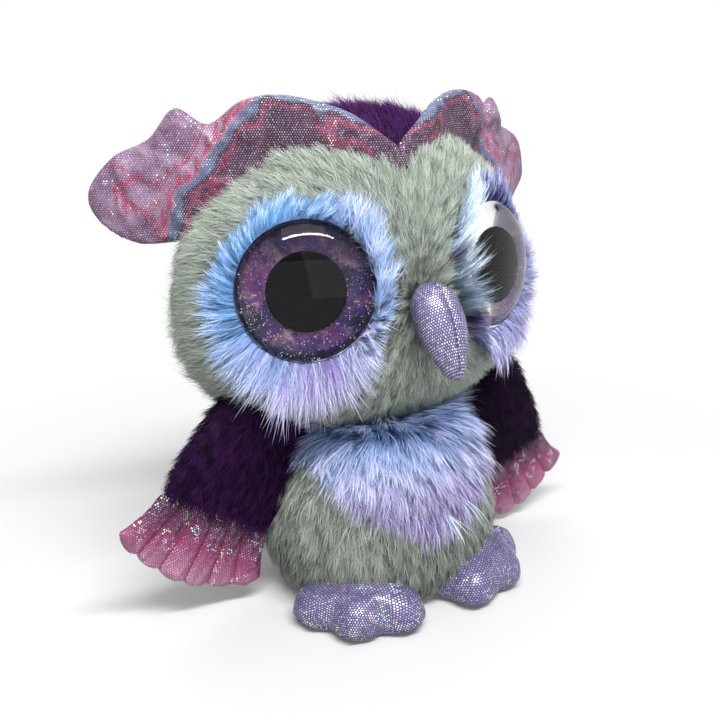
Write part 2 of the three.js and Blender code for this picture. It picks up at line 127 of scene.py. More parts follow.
def unit(vectors: Array) -> Array:
    """Vectors of length one."""
    return vectors / np.maximum(np.linalg.norm(vectors, axis=-1, keepdims=True), 1e-12)


def along(vectors: Array, normals: Array) -> Array:
    """The part of each vector that lies in the surface."""
    return vectors - normals * np.sum(vectors * normals, axis=-1, keepdims=True)


def ease(low: float, high: float, value: Array) -> Array:
    """A smooth step from 0 at low to 1 at high."""
    share = np.clip((value - low) / (high - low), 0, 1)
    return share * share * (3 - 2 * share)


def turned_about(axis: str, degrees: float) -> Array:
    """A turn about one axis.

    Args:
        axis: X, Y or Z.
        degrees: how far it turns.

    Returns:
        The 3 by 3 matrix.
    """
    c, s = math.cos(math.radians(degrees)), math.sin(math.radians(degrees))
    if axis == "X":
        return np.array([[1, 0, 0], [0, c, -s], [0, s, c]])
    if axis == "Y":
        return np.array([[c, 0, s], [0, 1, 0], [-s, 0, c]])
    return np.array([[c, -s, 0], [s, c, 0], [0, 0, 1]])


def smooth_curve(points: Sequence[Sequence[float]], steps: int, closed: bool = False) -> Array:
    """A smooth curve through points.

    Args:
        points: the points that the curve passes through.
        steps: how many points to return.
        closed: whether the last point runs on into the first.

    Returns:
        An array of points along the curve.
    """
    known = np.array(points, float)
    if closed:
        padded = np.vstack([known[-1], known, known[:2]])
        place = np.linspace(0, len(known), steps, endpoint=False)
    else:
        padded = np.vstack([known[0], known, known[-1]])
        place = np.linspace(0, len(known) - 1, steps)
    first = np.minimum(place.astype(int), len(padded) - 4)
    f = (place - first)[:, None]
    p0, p1, p2, p3 = (padded[first + i] for i in range(4))
    v0, v1 = (p2 - p0) / 2, (p3 - p1) / 2
    return (2 * p1 - 2 * p2 + v0 + v1) * f**3 + (3 * p2 - 3 * p1 - 2 * v0 - v1) * f**2 + v0 * f + p1


def narrowed(test: Rule, low: Array, high: Array, halvings: int) -> tuple[Array, Array]:
    """Halves spans again and again towards the values at which a test turns false.

    Args:
        test: from values, whether each passes.
        low: values that pass.
        high: values that don't.
        halvings: how often to halve the spans.

    Returns:
        The highest values known to pass and the lowest known not to.
    """
    for _ in range(halvings):
        middle = (low + high) / 2
        passes = test(middle)
        low, high = np.where(passes, middle, low), np.where(passes, high, middle)
    return low, high


def distance_to(lines: Sequence[Array], points: Array) -> Array:
    """Measures how far points in a plane lie from some lines.

    Args:
        lines: the lines, each an array of points.
        points: the points.

    Returns:
        The distance from each point to the nearest line.
    """
    best = np.full(len(points), 1e9)
    for line in lines:
        for start, run in zip(line[:-1], np.diff(line, axis=0)):
            share = np.clip(((points - start) @ run) / max(run @ run, 1e-9), 0, 1)
            best = np.minimum(best, np.linalg.norm(points - start - share[:, None] * run, axis=1))
    return best


@dataclass(frozen=True)
class Place:
    """Where a sub-assembly's own axes stand in the frame."""

    origin: Point
    turn: Array

    def out(self, points: Array) -> Array:
        """Points of the sub-assembly's axes, in the frame."""
        return points @ self.turn.T + np.array(self.origin)

    def into(self, points: Array) -> Array:
        """Points of the frame, in the sub-assembly's axes."""
        return (points - np.array(self.origin)) @ self.turn


class Waves:
    """A smooth random field over space, made of plane waves."""

    COUNT = 22
    SHORTEST, LONGEST = 0.65, 1.6
    STEEPNESS = 1.7
    SLOPE_SCALE = 10

    def __init__(self, size: float, seed: int) -> None:
        """Draws the waves.

        Args:
            size: the usual distance between two crests.
            seed: which field to draw.
        """
        rng = np.random.default_rng(seed)
        length = size * rng.uniform(self.SHORTEST, self.LONGEST, self.COUNT)
        self.size = size
        self.waves = unit(rng.normal(size=(self.COUNT, 3))) * (2 * math.pi / length)[:, None]
        self.phase = rng.uniform(0, 2 * math.pi, self.COUNT)
        self.share = self.STEEPNESS / math.sqrt(self.COUNT)

    def value(self, points: Array) -> Array:
        """The field's height, mostly from -1 to 1."""
        return self.share * np.cos(points @ self.waves.T + self.phase).sum(axis=1) / self.STEEPNESS

    def slope(self, points: Array) -> Array:
        """The way uphill, as a vector whose length is mostly below 1."""
        uphill = np.sin(points @ self.waves.T + self.phase) @ self.waves
        return -self.share * uphill * self.size / self.SLOPE_SCALE


# Node trees


class Value:
    """A number, colour or vector from a node, for use in expressions."""

    def __init__(self, tree: "Tree", socket: bpy.types.NodeSocket) -> None:
        """Wraps a node's output socket."""
        self.tree = tree
        self.socket = socket

    @property
    def many(self) -> bool:
        """Whether the value is a vector or a colour."""
        return self.socket.type in ("VECTOR", "RGBA")

    def __add__(self, other: "Value | float") -> "Value":
        """The sum."""
        return self.tree.maths("ADD", self, other)

    __radd__ = __add__

    def __sub__(self, other: "Value | float") -> "Value":
        """The difference."""
        return self.tree.maths("SUBTRACT", self, other)

    def __rsub__(self, other: "Value | float") -> "Value":
        """The difference, the other way round."""
        return self.tree.maths("SUBTRACT", other, self)

    def __mul__(self, other: "Value | float") -> "Value":
        """The product."""
        return self.tree.maths("MULTIPLY", self, other)

    __rmul__ = __mul__

    def __gt__(self, other: "Value | float") -> "Value":
        """1 where this is the greater, and 0 elsewhere."""
        return self.tree.maths("GREATER_THAN", self, other)


Input = Value | float | tuple


class Tree:
    """The node tree of one material or world."""

    def __init__(self, owner: Material | bpy.types.World) -> None:
        """Empties the owner's tree and gives it an output node.

        Args:
            owner: the material or world.
        """
        self.owner = owner
        owner.use_nodes = True
        self.nodes = owner.node_tree.nodes
        self.links = owner.node_tree.links
        self.nodes.clear()
        self.output = self.node(f"Output{type(owner).__name__}")

    @classmethod
    def named(cls, name: str) -> "Tree":
        """The tree of a new material."""
        return cls(bpy.data.materials.new(name))

    def node(self, kind: str, settings: Mapping | None = None,
             sockets: Mapping | None = None) -> bpy.types.Node:
        """Adds a node.

        Args:
            kind: the node's type, after ShaderNode.
            settings: its settings, set first. A ramp's stops go under the key stops.
            sockets: the values or links of its input sockets, by name or number.

        Returns:
            The node.
        """
        made = self.nodes.new(f"ShaderNode{kind}")
        for key, value in (settings or {}).items():
            if key == "stops":
                self._stops(made.color_ramp, value)
            else:
                setattr(made, key, value)
        for key, value in (sockets or {}).items():
            if isinstance(value, Value):
                self.links.new(value.socket, made.inputs[key])
            elif isinstance(value, tuple) and made.inputs[key].type == "RGBA":
                made.inputs[key].default_value = (*value, 1)
            else:
                made.inputs[key].default_value = value
        return made

    @staticmethod
    def _stops(ramp: bpy.types.ColorRamp, stops: Stops) -> None:
        """Sets a ramp's stops.

        Args:
            ramp: the ramp.
            stops: its stops, first to last.
        """
        while len(ramp.elements) < len(stops):
            ramp.elements.new(1)
        for element, (position, colour) in zip(ramp.elements, stops):
            element.position, element.color = position, (*colour, 1)

    def value(self, kind: str, settings: Mapping | None = None, sockets: Mapping | None = None,
              out: str | int = 0) -> Value:
        """Adds a node and returns one of its outputs."""
        return Value(self, self.node(kind, settings, sockets).outputs[out])

    def maths(self, operation: str, *terms: Input) -> Value:
        """A Math node, or a Vector Math node where a term is a vector or a colour.

        Args:
            operation: what the node does.
            terms: its inputs, in order.

        Returns:
            The result.
        """
        many = any(isinstance(t, Value) and t.many or isinstance(t, tuple) for t in terms)
        if not many:
            return self.value("Math", {"operation": operation}, dict(enumerate(terms)))
        full = [(t,) * 3 if isinstance(t, (int, float)) else t for t in terms]
        return self.value("VectorMath", {"operation": operation}, dict(enumerate(full)))

    def mix(self, share: Input, first: Input, second: Input) -> Value:
        """A colour between two, by share."""
        settings = {"data_type": "RGBA"}
        return self.value("Mix", settings, {0: share, 6: first, 7: second}, 2)

    def ramp(self, at: Value, *stops: tuple[float, Colour]) -> Value:
        """A colour ramp."""
        return self.value("ValToRGB", {"stops": stops}, {0: at})

    def step(self, value: Value, low: float, high: float) -> Value:
        """A smooth step from 0 at low to 1 at high."""
        settings = {"interpolation_type": "SMOOTHSTEP"}
        return self.value("MapRange", settings, {0: value, 1: low, 2: high})

    def noise(self, at: Value, scale: float, detail: float = 3, rough: float = 0.5,
              warp: float = 0) -> Value:
        """A noise number, mostly from 0.3 to 0.7."""
        return self.value("TexNoise", {}, {
            "Vector": at, "Scale": scale, "Detail": detail, "Roughness": rough, "Distortion": warp})

    def uv(self, name: str) -> Value:
        """The coordinates of a UV map."""
        return self.value("UVMap", {"uv_map": name})

    def place(self) -> Value:
        """The object's own coordinates, in metres."""
        return self.value("TexCoord", out="Object")

    def length(self, vector: Value) -> Value:
        """The length of a vector."""
        return self.value("VectorMath", {"operation": "LENGTH"}, {0: vector}, "Value")

    def blend(self, share: Value, first: Value, second: Value) -> Value:
        """A shader between two, by share."""
        return self.value("MixShader", {}, {0: share, 1: first, 2: second})

    def seen(self) -> Value:
        """Tells the rays that show the surface from those that only light it.

        Returns:
            1 where the camera sees the surface, or a reflection or clear plastic shows it.
        """
        paths = self.node("LightPath")
        camera, glossy, clear = (Value(self, paths.outputs[f"Is {kind} Ray"]) for kind in (
            "Camera", "Glossy", "Transmission"))
        return self.maths("MAXIMUM", camera, self.maths("MAXIMUM", glossy, clear))

    def split(self, vector: Value) -> tuple[Value, Value, Value]:
        """The three numbers of a vector."""
        made = self.node("SeparateXYZ", {}, {0: vector})
        return tuple(Value(self, made.outputs[i]) for i in range(3))

    def bump(self, height: Value, distance: float) -> Value:
        """A normal bumped by a height of 0 to 1, whose full rise is distance metres."""
        return self.value("Bump", {}, {"Height": height, "Distance": distance, "Strength": 1.0})

    def shader(self, **sockets: Input) -> Value:
        """A Principled shader. Its sockets are named with underscores for spaces."""
        named = {key.replace("_", " "): value for key, value in sockets.items()}
        return self.value("BsdfPrincipled", {}, named)

    def finish(self, shader: Value) -> Material | bpy.types.World:
        """Joins a shader to the output and returns the tree's owner."""
        self.links.new(shader.socket, self.output.inputs["Surface"])
        return self.owner


# Finishes


@dataclass(frozen=True)
class PileFinish:
    """Strands of pile. Their hue runs across the pile's map, and lanes from root to tip run up it. The
    roots are painted darker than the tips: painted shade deep in the pile.
    """

    name: str
    roots: Stops
    tips: Stops
    frost: float = 0.0
    contrast: float = 0.8
    roughness: float = 0.55
    gloss: float = 0.3
    frost_colour: Colour = (0.86, 0.88, 0.93)
    frost_rise: Pair = (0.3, 0.9)
    first_frosted_lane: float = 3.5

    def material(self) -> Material:
        """Makes the strands' material.

        Returns:
            The material.
        """
        tree = Tree.named(self.name)
        hue, up, _ = tree.split(tree.uv(PILE_UV))
        raised = up * float(Pile.LANES)
        lane = tree.maths("FLOOR", raised)
        height = raised - lane
        # From root to tip: partly the pile's own colours, and partly painted shade, darker deep in the
        # pile.
        body = tree.mix(height, tree.ramp(hue, *self.roots), tree.ramp(hue, *self.tips))
        # Each lane is a step brighter than the one below it: a random tone plus painted shade, darker
        # where a strand lies between locks.
        shade = 1 - self.contrast / 2 + lane * (self.contrast / (Pile.LANES - 1))
        shaded = tree.value("VectorMath", {"operation": "SCALE"}, {0: body, 3: shade})
        frosted = tree.step(lane, self.first_frosted_lane, Pile.LANES - 1.0)
        white = tree.step(height, *self.frost_rise) * frosted * self.frost
        colour = tree.mix(white, shaded, self.frost_colour)
        return tree.finish(tree.shader(
            Base_Color=colour, Roughness=self.roughness, Specular_IOR_Level=self.gloss))


@dataclass(frozen=True)
class KnitFinish:
    """The knitted cloth that pile grows from."""

    name: str
    dark: Colour
    light: Colour
    streak_scale: float = 900
    patch_scale: float = 160
    relief: float = 0.0006

    def material(self) -> Material:
        """Makes the cloth's material: fine streaks of two shades over a knitted bump.

        Returns:
            The material.
        """
        tree = Tree.named(self.name)
        at = tree.place()
        streaks = tree.noise(at * (1.0, 1.0, 0.35), self.streak_scale, 4, 0.6)
        patches = tree.noise(at, self.patch_scale, 2)
        colour = tree.mix(tree.step(streaks * 0.7 + patches * 0.3, 0.35, 0.65), self.dark, self.light)
        return tree.finish(tree.shader(
            Base_Color=colour, Roughness=0.9, Specular_IOR_Level=0.15, Sheen_Weight=0.2,
            Normal=tree.bump(streaks, self.relief)))


@dataclass(frozen=True)
class FoilFinish:
    """Cloth printed with a close pattern of foil dots, with painted highlights and painted rainbow glints
    on some of them. Lengths are millimetres.
    """

    name: str
    base: Stops
    dots: Stops
    pitch: float = 1.05
    dot_core: float = 0.22
    dot_edge: float = 0.36
    glints: float = 0.5
    metal: float = 0.45
    seam: float = 0
    stitches: float = 3.2
    thread: Colour = (0.02, 0.015, 0.06)
    shine: Colour = (0.78, 0.77, 0.83)
    relief: float = 0.00008

    def ground(self, tree: Tree, at: Value, deep: Value) -> Value:
        """The cloth under the dots: a ramp over the cloth's depth."""
        return tree.ramp(deep, *self.base)

    def material(self) -> Material:
        """Makes the cloth's material.

        Returns:
            The material.
        """
        tree = Tree.named(self.name)
        at = tree.uv(CLOTH_UV)
        out, up, _ = tree.split(at)
        deep, _, _ = tree.split(tree.uv(DEPTH_UV))
        cloth = self.ground(tree, at, deep)
        lattice = at * (1 / self.pitch, 1 / (self.pitch * math.sqrt(3)), 0.0)
        near, odd = self._nearest(tree, lattice, 0.0)
        far, even = self._nearest(tree, lattice, 0.5)
        dot = 1 - tree.step(tree.maths("MINIMUM", near, far), self.dot_core, self.dot_edge)
        pick, dim, _ = tree.split(tree.mix(near > far, odd, even))
        # Clusters of dots painted in rainbow colours: painted glints.
        cluster = tree.step(tree.noise(at, 0.12, 2), 0.54, 0.6)
        glint = (pick > 1 - self.glints) * cluster * dot
        rainbow = tree.value("HueSaturation", {}, {
            "Hue": dim, "Saturation": 0.75, "Value": 1.0, "Color": (1.0, 0.4, 0.3)})
        # Random patches of dots are painted towards the shine colour: painted highlights.
        sheen = tree.noise(at + (31.0, 17.0, 0.0), 0.09, 2)
        lit = tree.step(pick * 0.5 + sheen, 0.55, 1.05)
        foil = tree.mix(lit, tree.ramp(deep, *self.dots), self.shine)
        colour = tree.mix(dot * (0.35 + dim * 0.65), cloth, foil)
        if self.seam:
            line = 1 - tree.step(tree.maths("ABSOLUTE", out), self.seam * 0.4, self.seam)
            stitch = tree.maths("SINE", up * self.stitches) > -0.2
            colour = tree.mix(line * (0.25 + stitch * 0.65), colour, self.thread)
        colour = tree.mix(glint, colour, rainbow)
        return tree.finish(tree.shader(
            Base_Color=colour, Metallic=dot * (1 - glint) * self.metal, Roughness=0.6 - dot * 0.28,
            Specular_IOR_Level=0.4, Normal=tree.bump(dot, self.relief)))

    @staticmethod
    def _nearest(tree: Tree, lattice: Value, shift: float) -> tuple[Value, Value]:
        """Finds the nearest dot of a lattice.

        Args:
            tree: the material's tree.
            lattice: coordinates in which the dots are 1 apart.
            shift: how far the lattice is shifted along both.

        Returns:
            The distance to the dot, and the dot's own random colour.
        """
        moved = lattice + (shift, shift, 0.0)
        centre = tree.maths("FLOOR", moved + (0.5, 0.5, 0.0))
        length = tree.length((moved - centre) * (1.0, math.sqrt(3), 0.0))
        chance = tree.value("TexWhiteNoise", {"noise_dimensions": "3D"},
                            {"Vector": centre + (0.0, 0.0, shift)}, "Color")
        return length, chance


@dataclass(frozen=True)
class PrintFinish(FoilFinish):
    """Foil cloth printed with drifting waves on mauve, by its depth from sewn edge to tip."""

    dusk: Colour = (0.12, 0.055, 0.12)
    mauve: Colour = (0.23, 0.14, 0.23)
    crimson: Colour = (0.3, 0.015, 0.06)
    dark_crimson: Colour = (0.24, 0.01, 0.045)
    plum: Colour = (0.03, 0.005, 0.024)
    blue: Colour = (0.06, 0.12, 0.22)
    rose: Colour = (0.26, 0.016, 0.07)

    def ground(self, tree: Tree, at: Value, deep: Value) -> Value:
        """The printed ground, waves and rays.

        Args:
            tree: the material's tree.
            at: the cloth's coordinates.
            deep: the cloth's depth.

        Returns:
            The colour under the dots.
        """
        out, _, _ = tree.split(at)
        drift = tree.noise(at, 0.03, 2, 0.5, 0.5) - 0.5
        level = deep + drift * 1.5
        ground = tree.mix(tree.step(tree.noise(at, 0.07, 3), 0.42, 0.6), self.dusk, self.mauve)
        rays = tree.maths("SINE", out * 1.7 + tree.noise(at, 0.1, 2) * 10) * 0.5 + 0.5
        fringe = tree.step(level, 0.42, 0.5) * (1 - tree.step(level - rays * 0.22, 0.46, 0.56))
        colour = tree.mix(fringe * 0.9, ground, self.crimson)
        far = tree.step(level, 0.8, 0.86) * (1 - tree.step(level - rays * 0.1, 0.84, 0.9))
        colour = tree.mix(far * 0.9, colour, self.dark_crimson)
        colour = tree.mix((1 - tree.step(level, 0.3, 0.44)) * 0.97, colour, self.plum)
        band = tree.step(level, 0.2, 0.26) * (1 - tree.step(level, 0.33, 0.41))
        colour = tree.mix(band * 0.85, colour, self.blue)
        glow = tree.step(level, 0.05, 0.1) * (1 - tree.step(level, 0.12, 0.17))
        return tree.mix(glow * 0.7, colour, self.rose)


@dataclass(frozen=True)
class PlainFinish:
    """A single-coloured finish with a faint unevenness."""

    name: str
    colour: Colour
    roughness: float = 0.5
    gloss: float = 0.5
    grain: float = 300
    depth: float = 0.0001
    darkening: float = 0.8

    def material(self) -> Material:
        """Makes the finish's material.

        Returns:
            The material.
        """
        tree = Tree.named(self.name)
        cloud = tree.noise(tree.place(), self.grain, 3)
        dark = tuple(self.darkening * c for c in self.colour)
        colour = tree.mix(tree.step(cloud, 0.35, 0.65), dark, self.colour)
        return tree.finish(tree.shader(
            Base_Color=colour, Roughness=self.roughness, Specular_IOR_Level=self.gloss,
            Normal=tree.bump(cloud, self.depth)))


@dataclass(frozen=True)
class IrisFinish:
    """The disc behind the lens: clouds of violet, navy and rose with fine glitter, painted darker towards
    its top as shade.
    """

    name: str = "iris_print"
    clouds: Stops = ((0.38, (0.001, 0.001, 0.012)), (0.47, (0.01, 0.006, 0.05)),
                     (0.54, (0.025, 0.004, 0.045)), (0.64, (0.07, 0.018, 0.07)))
    haze: Colour = (0.09, 0.04, 0.07)
    rose: Colour = (0.24, 0.14, 0.15)
    rim: Colour = (0.002, 0.0015, 0.004)
    shade: Colour = (0.012, 0.008, 0.02)
    glitter: Colour = (0.95, 0.9, 0.95)
    glitter_scale: float = 44.0

    def material(self) -> Material:
        """Makes the disc's material.

        Returns:
            The material.
        """
        tree = Tree.named(self.name)
        at = tree.uv(CLOTH_UV)
        radius = tree.length(at)
        wide = tree.noise(at, 1.6, 4, 0.55, 0.8)
        fine = tree.noise(at + (7.0, 3.0, 0.0), 4.5, 5, 0.6, 0.4)
        drift = tree.noise(at + (2.0, 9.0, 0.0), 2.8, 5, 0.65, 0.3)
        colour = tree.mix(tree.step(fine, 0.5, 0.75) * 0.3, tree.ramp(wide, *self.clouds), self.haze)
        colour = tree.mix(tree.step(drift, 0.5, 0.68) * (1 - radius) * 1.8, colour, self.rose)
        colour = tree.mix(tree.step(radius, 0.8, 0.94), colour, self.rim)
        _, height, _ = tree.split(at)
        # The disc darkens towards its top, painted shade; its glitter is dimmed there too.
        colour = tree.mix(tree.step(height, -0.1, 0.9) * 0.75, colour, self.shade)
        specks = tree.node("TexVoronoi", {}, {
            "Vector": at, "Scale": self.glitter_scale, "Randomness": 1.0})
        pick, size, _ = tree.split(Value(tree, specks.outputs["Color"]))
        spots = 1 - tree.step(Value(tree, specks.outputs["Distance"]), 0.16, 0.3)
        stars = spots * (pick > 0.6) * (0.25 + size * 0.75)
        stars = stars * (1 - tree.step(height, -0.2, 0.7) * 0.8)
        colour = tree.mix(stars, colour, self.glitter)
        return tree.finish(tree.shader(Base_Color=colour, Roughness=0.6, Specular_IOR_Level=0.0))


@dataclass(frozen=True)
class LensFinish:
    """Clear moulded plastic, painted dark where its depth is 1, round its edge."""

    name: str = "clear_dome"
    ior: float = 1.47
    tint: Colour = (0.4, 0.4, 0.4)
    edge_paint: Colour = (0.006, 0.005, 0.01)

    def material(self) -> Material:
        """Makes the lens's material. Light passes straight through it, so that the disc behind is lit.

        Returns:
            The material.
        """
        tree = Tree.named(self.name)
        shadow = tree.value("LightPath", out="Is Shadow Ray")
        clear = tree.shader(Base_Color=(1, 1, 1), Roughness=0.0, IOR=self.ior, Transmission_Weight=1.0,
                            Specular_Tint=self.tint)
        dome = tree.blend(shadow, clear, tree.value("BsdfTransparent"))
        edge, _, _ = tree.split(tree.uv(DEPTH_UV))
        paint = tree.shader(Base_Color=self.edge_paint, Roughness=0.3, Specular_IOR_Level=0.3)
        return tree.finish(tree.blend(edge > 0.5, dome, paint))


# Meshes


def make_piece(name: str, points: Array, faces: Sequence[Array], maps: Mapping[str, Array],
               material: Material, normals: Array | None = None) -> Object:
    """Makes a mesh object.

    Args:
        name: the object's name.
        points: its points, in millimetres.
        faces: arrays of faces, each with its own number of corners.
        maps: UV maps by name, one coordinate pair for each point.
        material: its material.
        normals: its shading normals, one for each point, where the faces' own won't do.

    Returns:
        The object, linked to the scene.
    """
    mesh = bpy.data.meshes.new(name)
    corners = np.concatenate([f.ravel() for f in faces]).astype(np.int32)
    sizes = np.concatenate([np.full(len(f), f.shape[1]) for f in faces])
    starts = np.concatenate([[0], np.cumsum(sizes)[:-1]]).astype(np.int32)
    mesh.vertices.add(len(points))
    mesh.vertices.foreach_set("co", (points * MM).astype(np.float32).ravel())
    mesh.loops.add(len(corners))
    mesh.loops.foreach_set("vertex_index", corners)
    mesh.polygons.add(len(starts))
    mesh.polygons.foreach_set("loop_start", starts)
    mesh.update(calc_edges=True)
    for map_name, pairs in maps.items():
        layer = mesh.uv_layers.new(name=map_name)
        layer.data.foreach_set("uv", pairs[corners].astype(np.float32).ravel())
    if normals is not None:
        mesh.normals_split_custom_set_from_vertices(unit(normals).tolist())
    mesh.materials.append(material)
    made = bpy.data.objects.new(name, mesh)
    bpy.context.scene.collection.objects.link(made)
    LOG.info("%s: %d points, %d faces", name, len(points), len(starts))
    return made


@dataclass
class Surface:
    """A surface of quads and triangles, in millimetres."""

    points: Array
    quads: Array
    triangles: Array
    maps: dict[str, Array] = field(default_factory=dict)

    @cached_property
    def corners(self) -> Array:
        """All the faces as triangles."""
        return np.vstack([self.quads[:, [0, 1, 2]], self.quads[:, [0, 2, 3]], self.triangles])

    @cached_property
    def normals(self) -> Array:
        """A normal for each point, from the faces round it.

        Returns:
            The normals.
        """
        a, b, c = (self.points[self.corners[:, i]] for i in range(3))
        face = np.cross(b - a, c - a)
        total = np.zeros_like(self.points)
        for i in range(3):
            np.add.at(total, self.corners[:, i], face)
        return unit(total)

    def reshaped(self, rule: Rule) -> "Surface":
        """The same faces with their points moved by a rule."""
        return Surface(rule(self.points), self.quads, self.triangles, self.maps)

    def part(self, keep: Rule) -> "Surface":
        """The faces whose middles a rule keeps."""
        kept = (faces[keep(self.points[faces].mean(axis=1))] for faces in (self.quads, self.triangles))
        return self.with_faces(*kept)

    def with_faces(self, quads: Array, triangles: Array) -> "Surface":
        """The same points with other faces, without the points that nothing uses.

        Args:
            quads: the faces of four corners.
            triangles: the faces of three corners.

        Returns:
            The surface.
        """
        used = np.unique(np.concatenate([quads.ravel(), triangles.ravel()]))
        renamed = np.full(len(self.points), -1)
        renamed[used] = np.arange(len(used))
        maps = {name: pairs[used] for name, pairs in self.maps.items()}
        return Surface(self.points[used], renamed[quads], renamed[triangles], maps)

    def piece(self, name: str, material: Material) -> Object:
        """Makes the surface's object."""
        faces = [f for f in (self.quads, self.triangles) if len(f)]
        return make_piece(name, self.points, faces, self.maps, material)


def ring_of_angles(around: int) -> Array:
    """Evenly spaced angles of one full turn."""
    return np.arange(around) * (2 * math.pi / around)


def ring_quads(rings: int, around: int) -> Array:
    """The faces that join rings of points, each ring to the next.

    Args:
        rings: how many rings there are.
        around: how many points each ring has.

    Returns:
        The quads.
    """
    i, j = np.meshgrid(np.arange(rings - 1), np.arange(around), indexing="ij")
    here, after = i * around + j, i * around + (j + 1) % around
    return np.stack([here, after, after + around, here + around], axis=-1).reshape(-1, 4)


def turned_form(profile: Array, around: int) -> Surface:
    """A form turned about Z.

    Args:
        profile: rows of radius and height, bottom to top. A radius of 0 at either end closes the form.
        around: how many points each ring has.

    Returns:
        The surface, with its faces outward.
    """
    closed = [profile[0][0] < 1e-9, profile[-1][0] < 1e-9]
    rows = profile[int(closed[0]):len(profile) - int(closed[1])]
    angles = ring_of_angles(around)
    ring = np.stack([np.cos(angles), np.sin(angles)], axis=1)
    points = np.vstack([
        np.column_stack([ring * radius, np.full(around, height)]) for radius, height in rows])
    triangles = [NO_TRIANGLES]
    here = np.arange(around)
    after = (here + 1) % around
    if closed[0]:
        points = np.vstack([points, [[0, 0, profile[0][1]]]])
        triangles.append(np.column_stack([after, here, np.full(around, len(points) - 1)]))
    if closed[1]:
        points = np.vstack([points, [[0, 0, profile[-1][1]]]])
        top = (len(rows) - 1) * around
        triangles.append(np.column_stack([top + here, top + after, np.full(around, len(points) - 1)]))
    return Surface(points, ring_quads(len(rows), around), np.vstack(triangles))


def tube(path: Array, radius: float) -> Surface:
    """A round thread along a path, tapered at its ends.

    Args:
        path: the points along its middle.
        radius: its radius between the ends.

    Returns:
        The surface.
    """
    run = unit(np.gradient(path, axis=0))
    side = unit(np.cross(run, np.array([0.3, 1.0, 0.2])))
    other = np.cross(run, side)
    around = 8
    angles = ring_of_angles(around)[None, :, None]
    place = np.arange(len(path))
    taper = np.minimum(1, np.sqrt(np.minimum(place, place[::-1]) / 3 + 0.02))
    spokes = side[:, None] * np.cos(angles) + other[:, None] * np.sin(angles)
    points = (path[:, None] + spokes * (radius * taper)[:, None, None]).reshape(-1, 3)
    last = (len(path) - 1) * around
    fan = np.arange(1, around - 1)
    caps = [np.column_stack([0 * fan, fan + 1, fan]), np.column_stack([0 * fan, fan, fan + 1]) + last]
    return Surface(points, ring_quads(len(path), around), np.vstack(caps))


@dataclass(frozen=True)
class Filling:
    """Wadding that presses a padded piece's cloth out between its seams. Lengths are millimetres."""

    CLOTH = {
        "quality": 4, "mass": 0.05, "tension_stiffness": 15, "compression_stiffness": 15,
        "shear_stiffness": 5, "bending_stiffness": 0.2, "use_pressure": True,
        "uniform_pressure_force": 20, "shrink_min": -0.06, "vertex_group_mass": "sewn"}

    most: float = 1.4
    frames: int = 12

    def press(self, piece: Object, held: Array) -> None:
        """Lets a cloth simulation press the piece out, and keeps its result.

        Args:
            piece: the piece in its sewn shape.
            held: which of its points are sewn down.
        """
        count = len(piece.data.vertices)
        sewn = piece.vertex_groups.new(name=self.CLOTH["vertex_group_mass"])
        sewn.add(np.flatnonzero(held).tolist(), 1, "REPLACE")
        cloth = piece.modifiers.new("filling", "CLOTH")
        for key, value in self.CLOTH.items():
            setattr(cloth.settings, key, value)
        cloth.settings.effector_weights.gravity = 0
        cloth.point_cache.frame_end = self.frames
        for frame in range(1, self.frames + 1):
            bpy.context.scene.frame_set(frame)
        before, after, normals = np.empty((3, count * 3), np.float32)
        piece.data.vertices.foreach_get("co", before)
        piece.data.vertices.foreach_get("normal", normals)
        piece.evaluated_get(bpy.context.evaluated_depsgraph_get()).data.vertices.foreach_get("co", after)
        bpy.context.scene.frame_set(1)
        piece.modifiers.remove(cloth)
        piece.vertex_groups.remove(sewn)
        move = (after - before).reshape(-1, 3)
        normals = normals.reshape(-1, 3)
        move -= normals * np.minimum(0, np.sum(move * normals, axis=1, keepdims=True))
        size = np.linalg.norm(move, axis=1, keepdims=True) / MM
        move *= np.minimum(1, self.most / np.maximum(size, 1e-6))
        piece.data.vertices.foreach_set("co", before + move.ravel())
        piece.data.update()
        kept = np.minimum(size, self.most)
        LOG.info("%s: pressed out by %.1f mm, at most %.1f mm", piece.name, kept.mean(), kept.max())


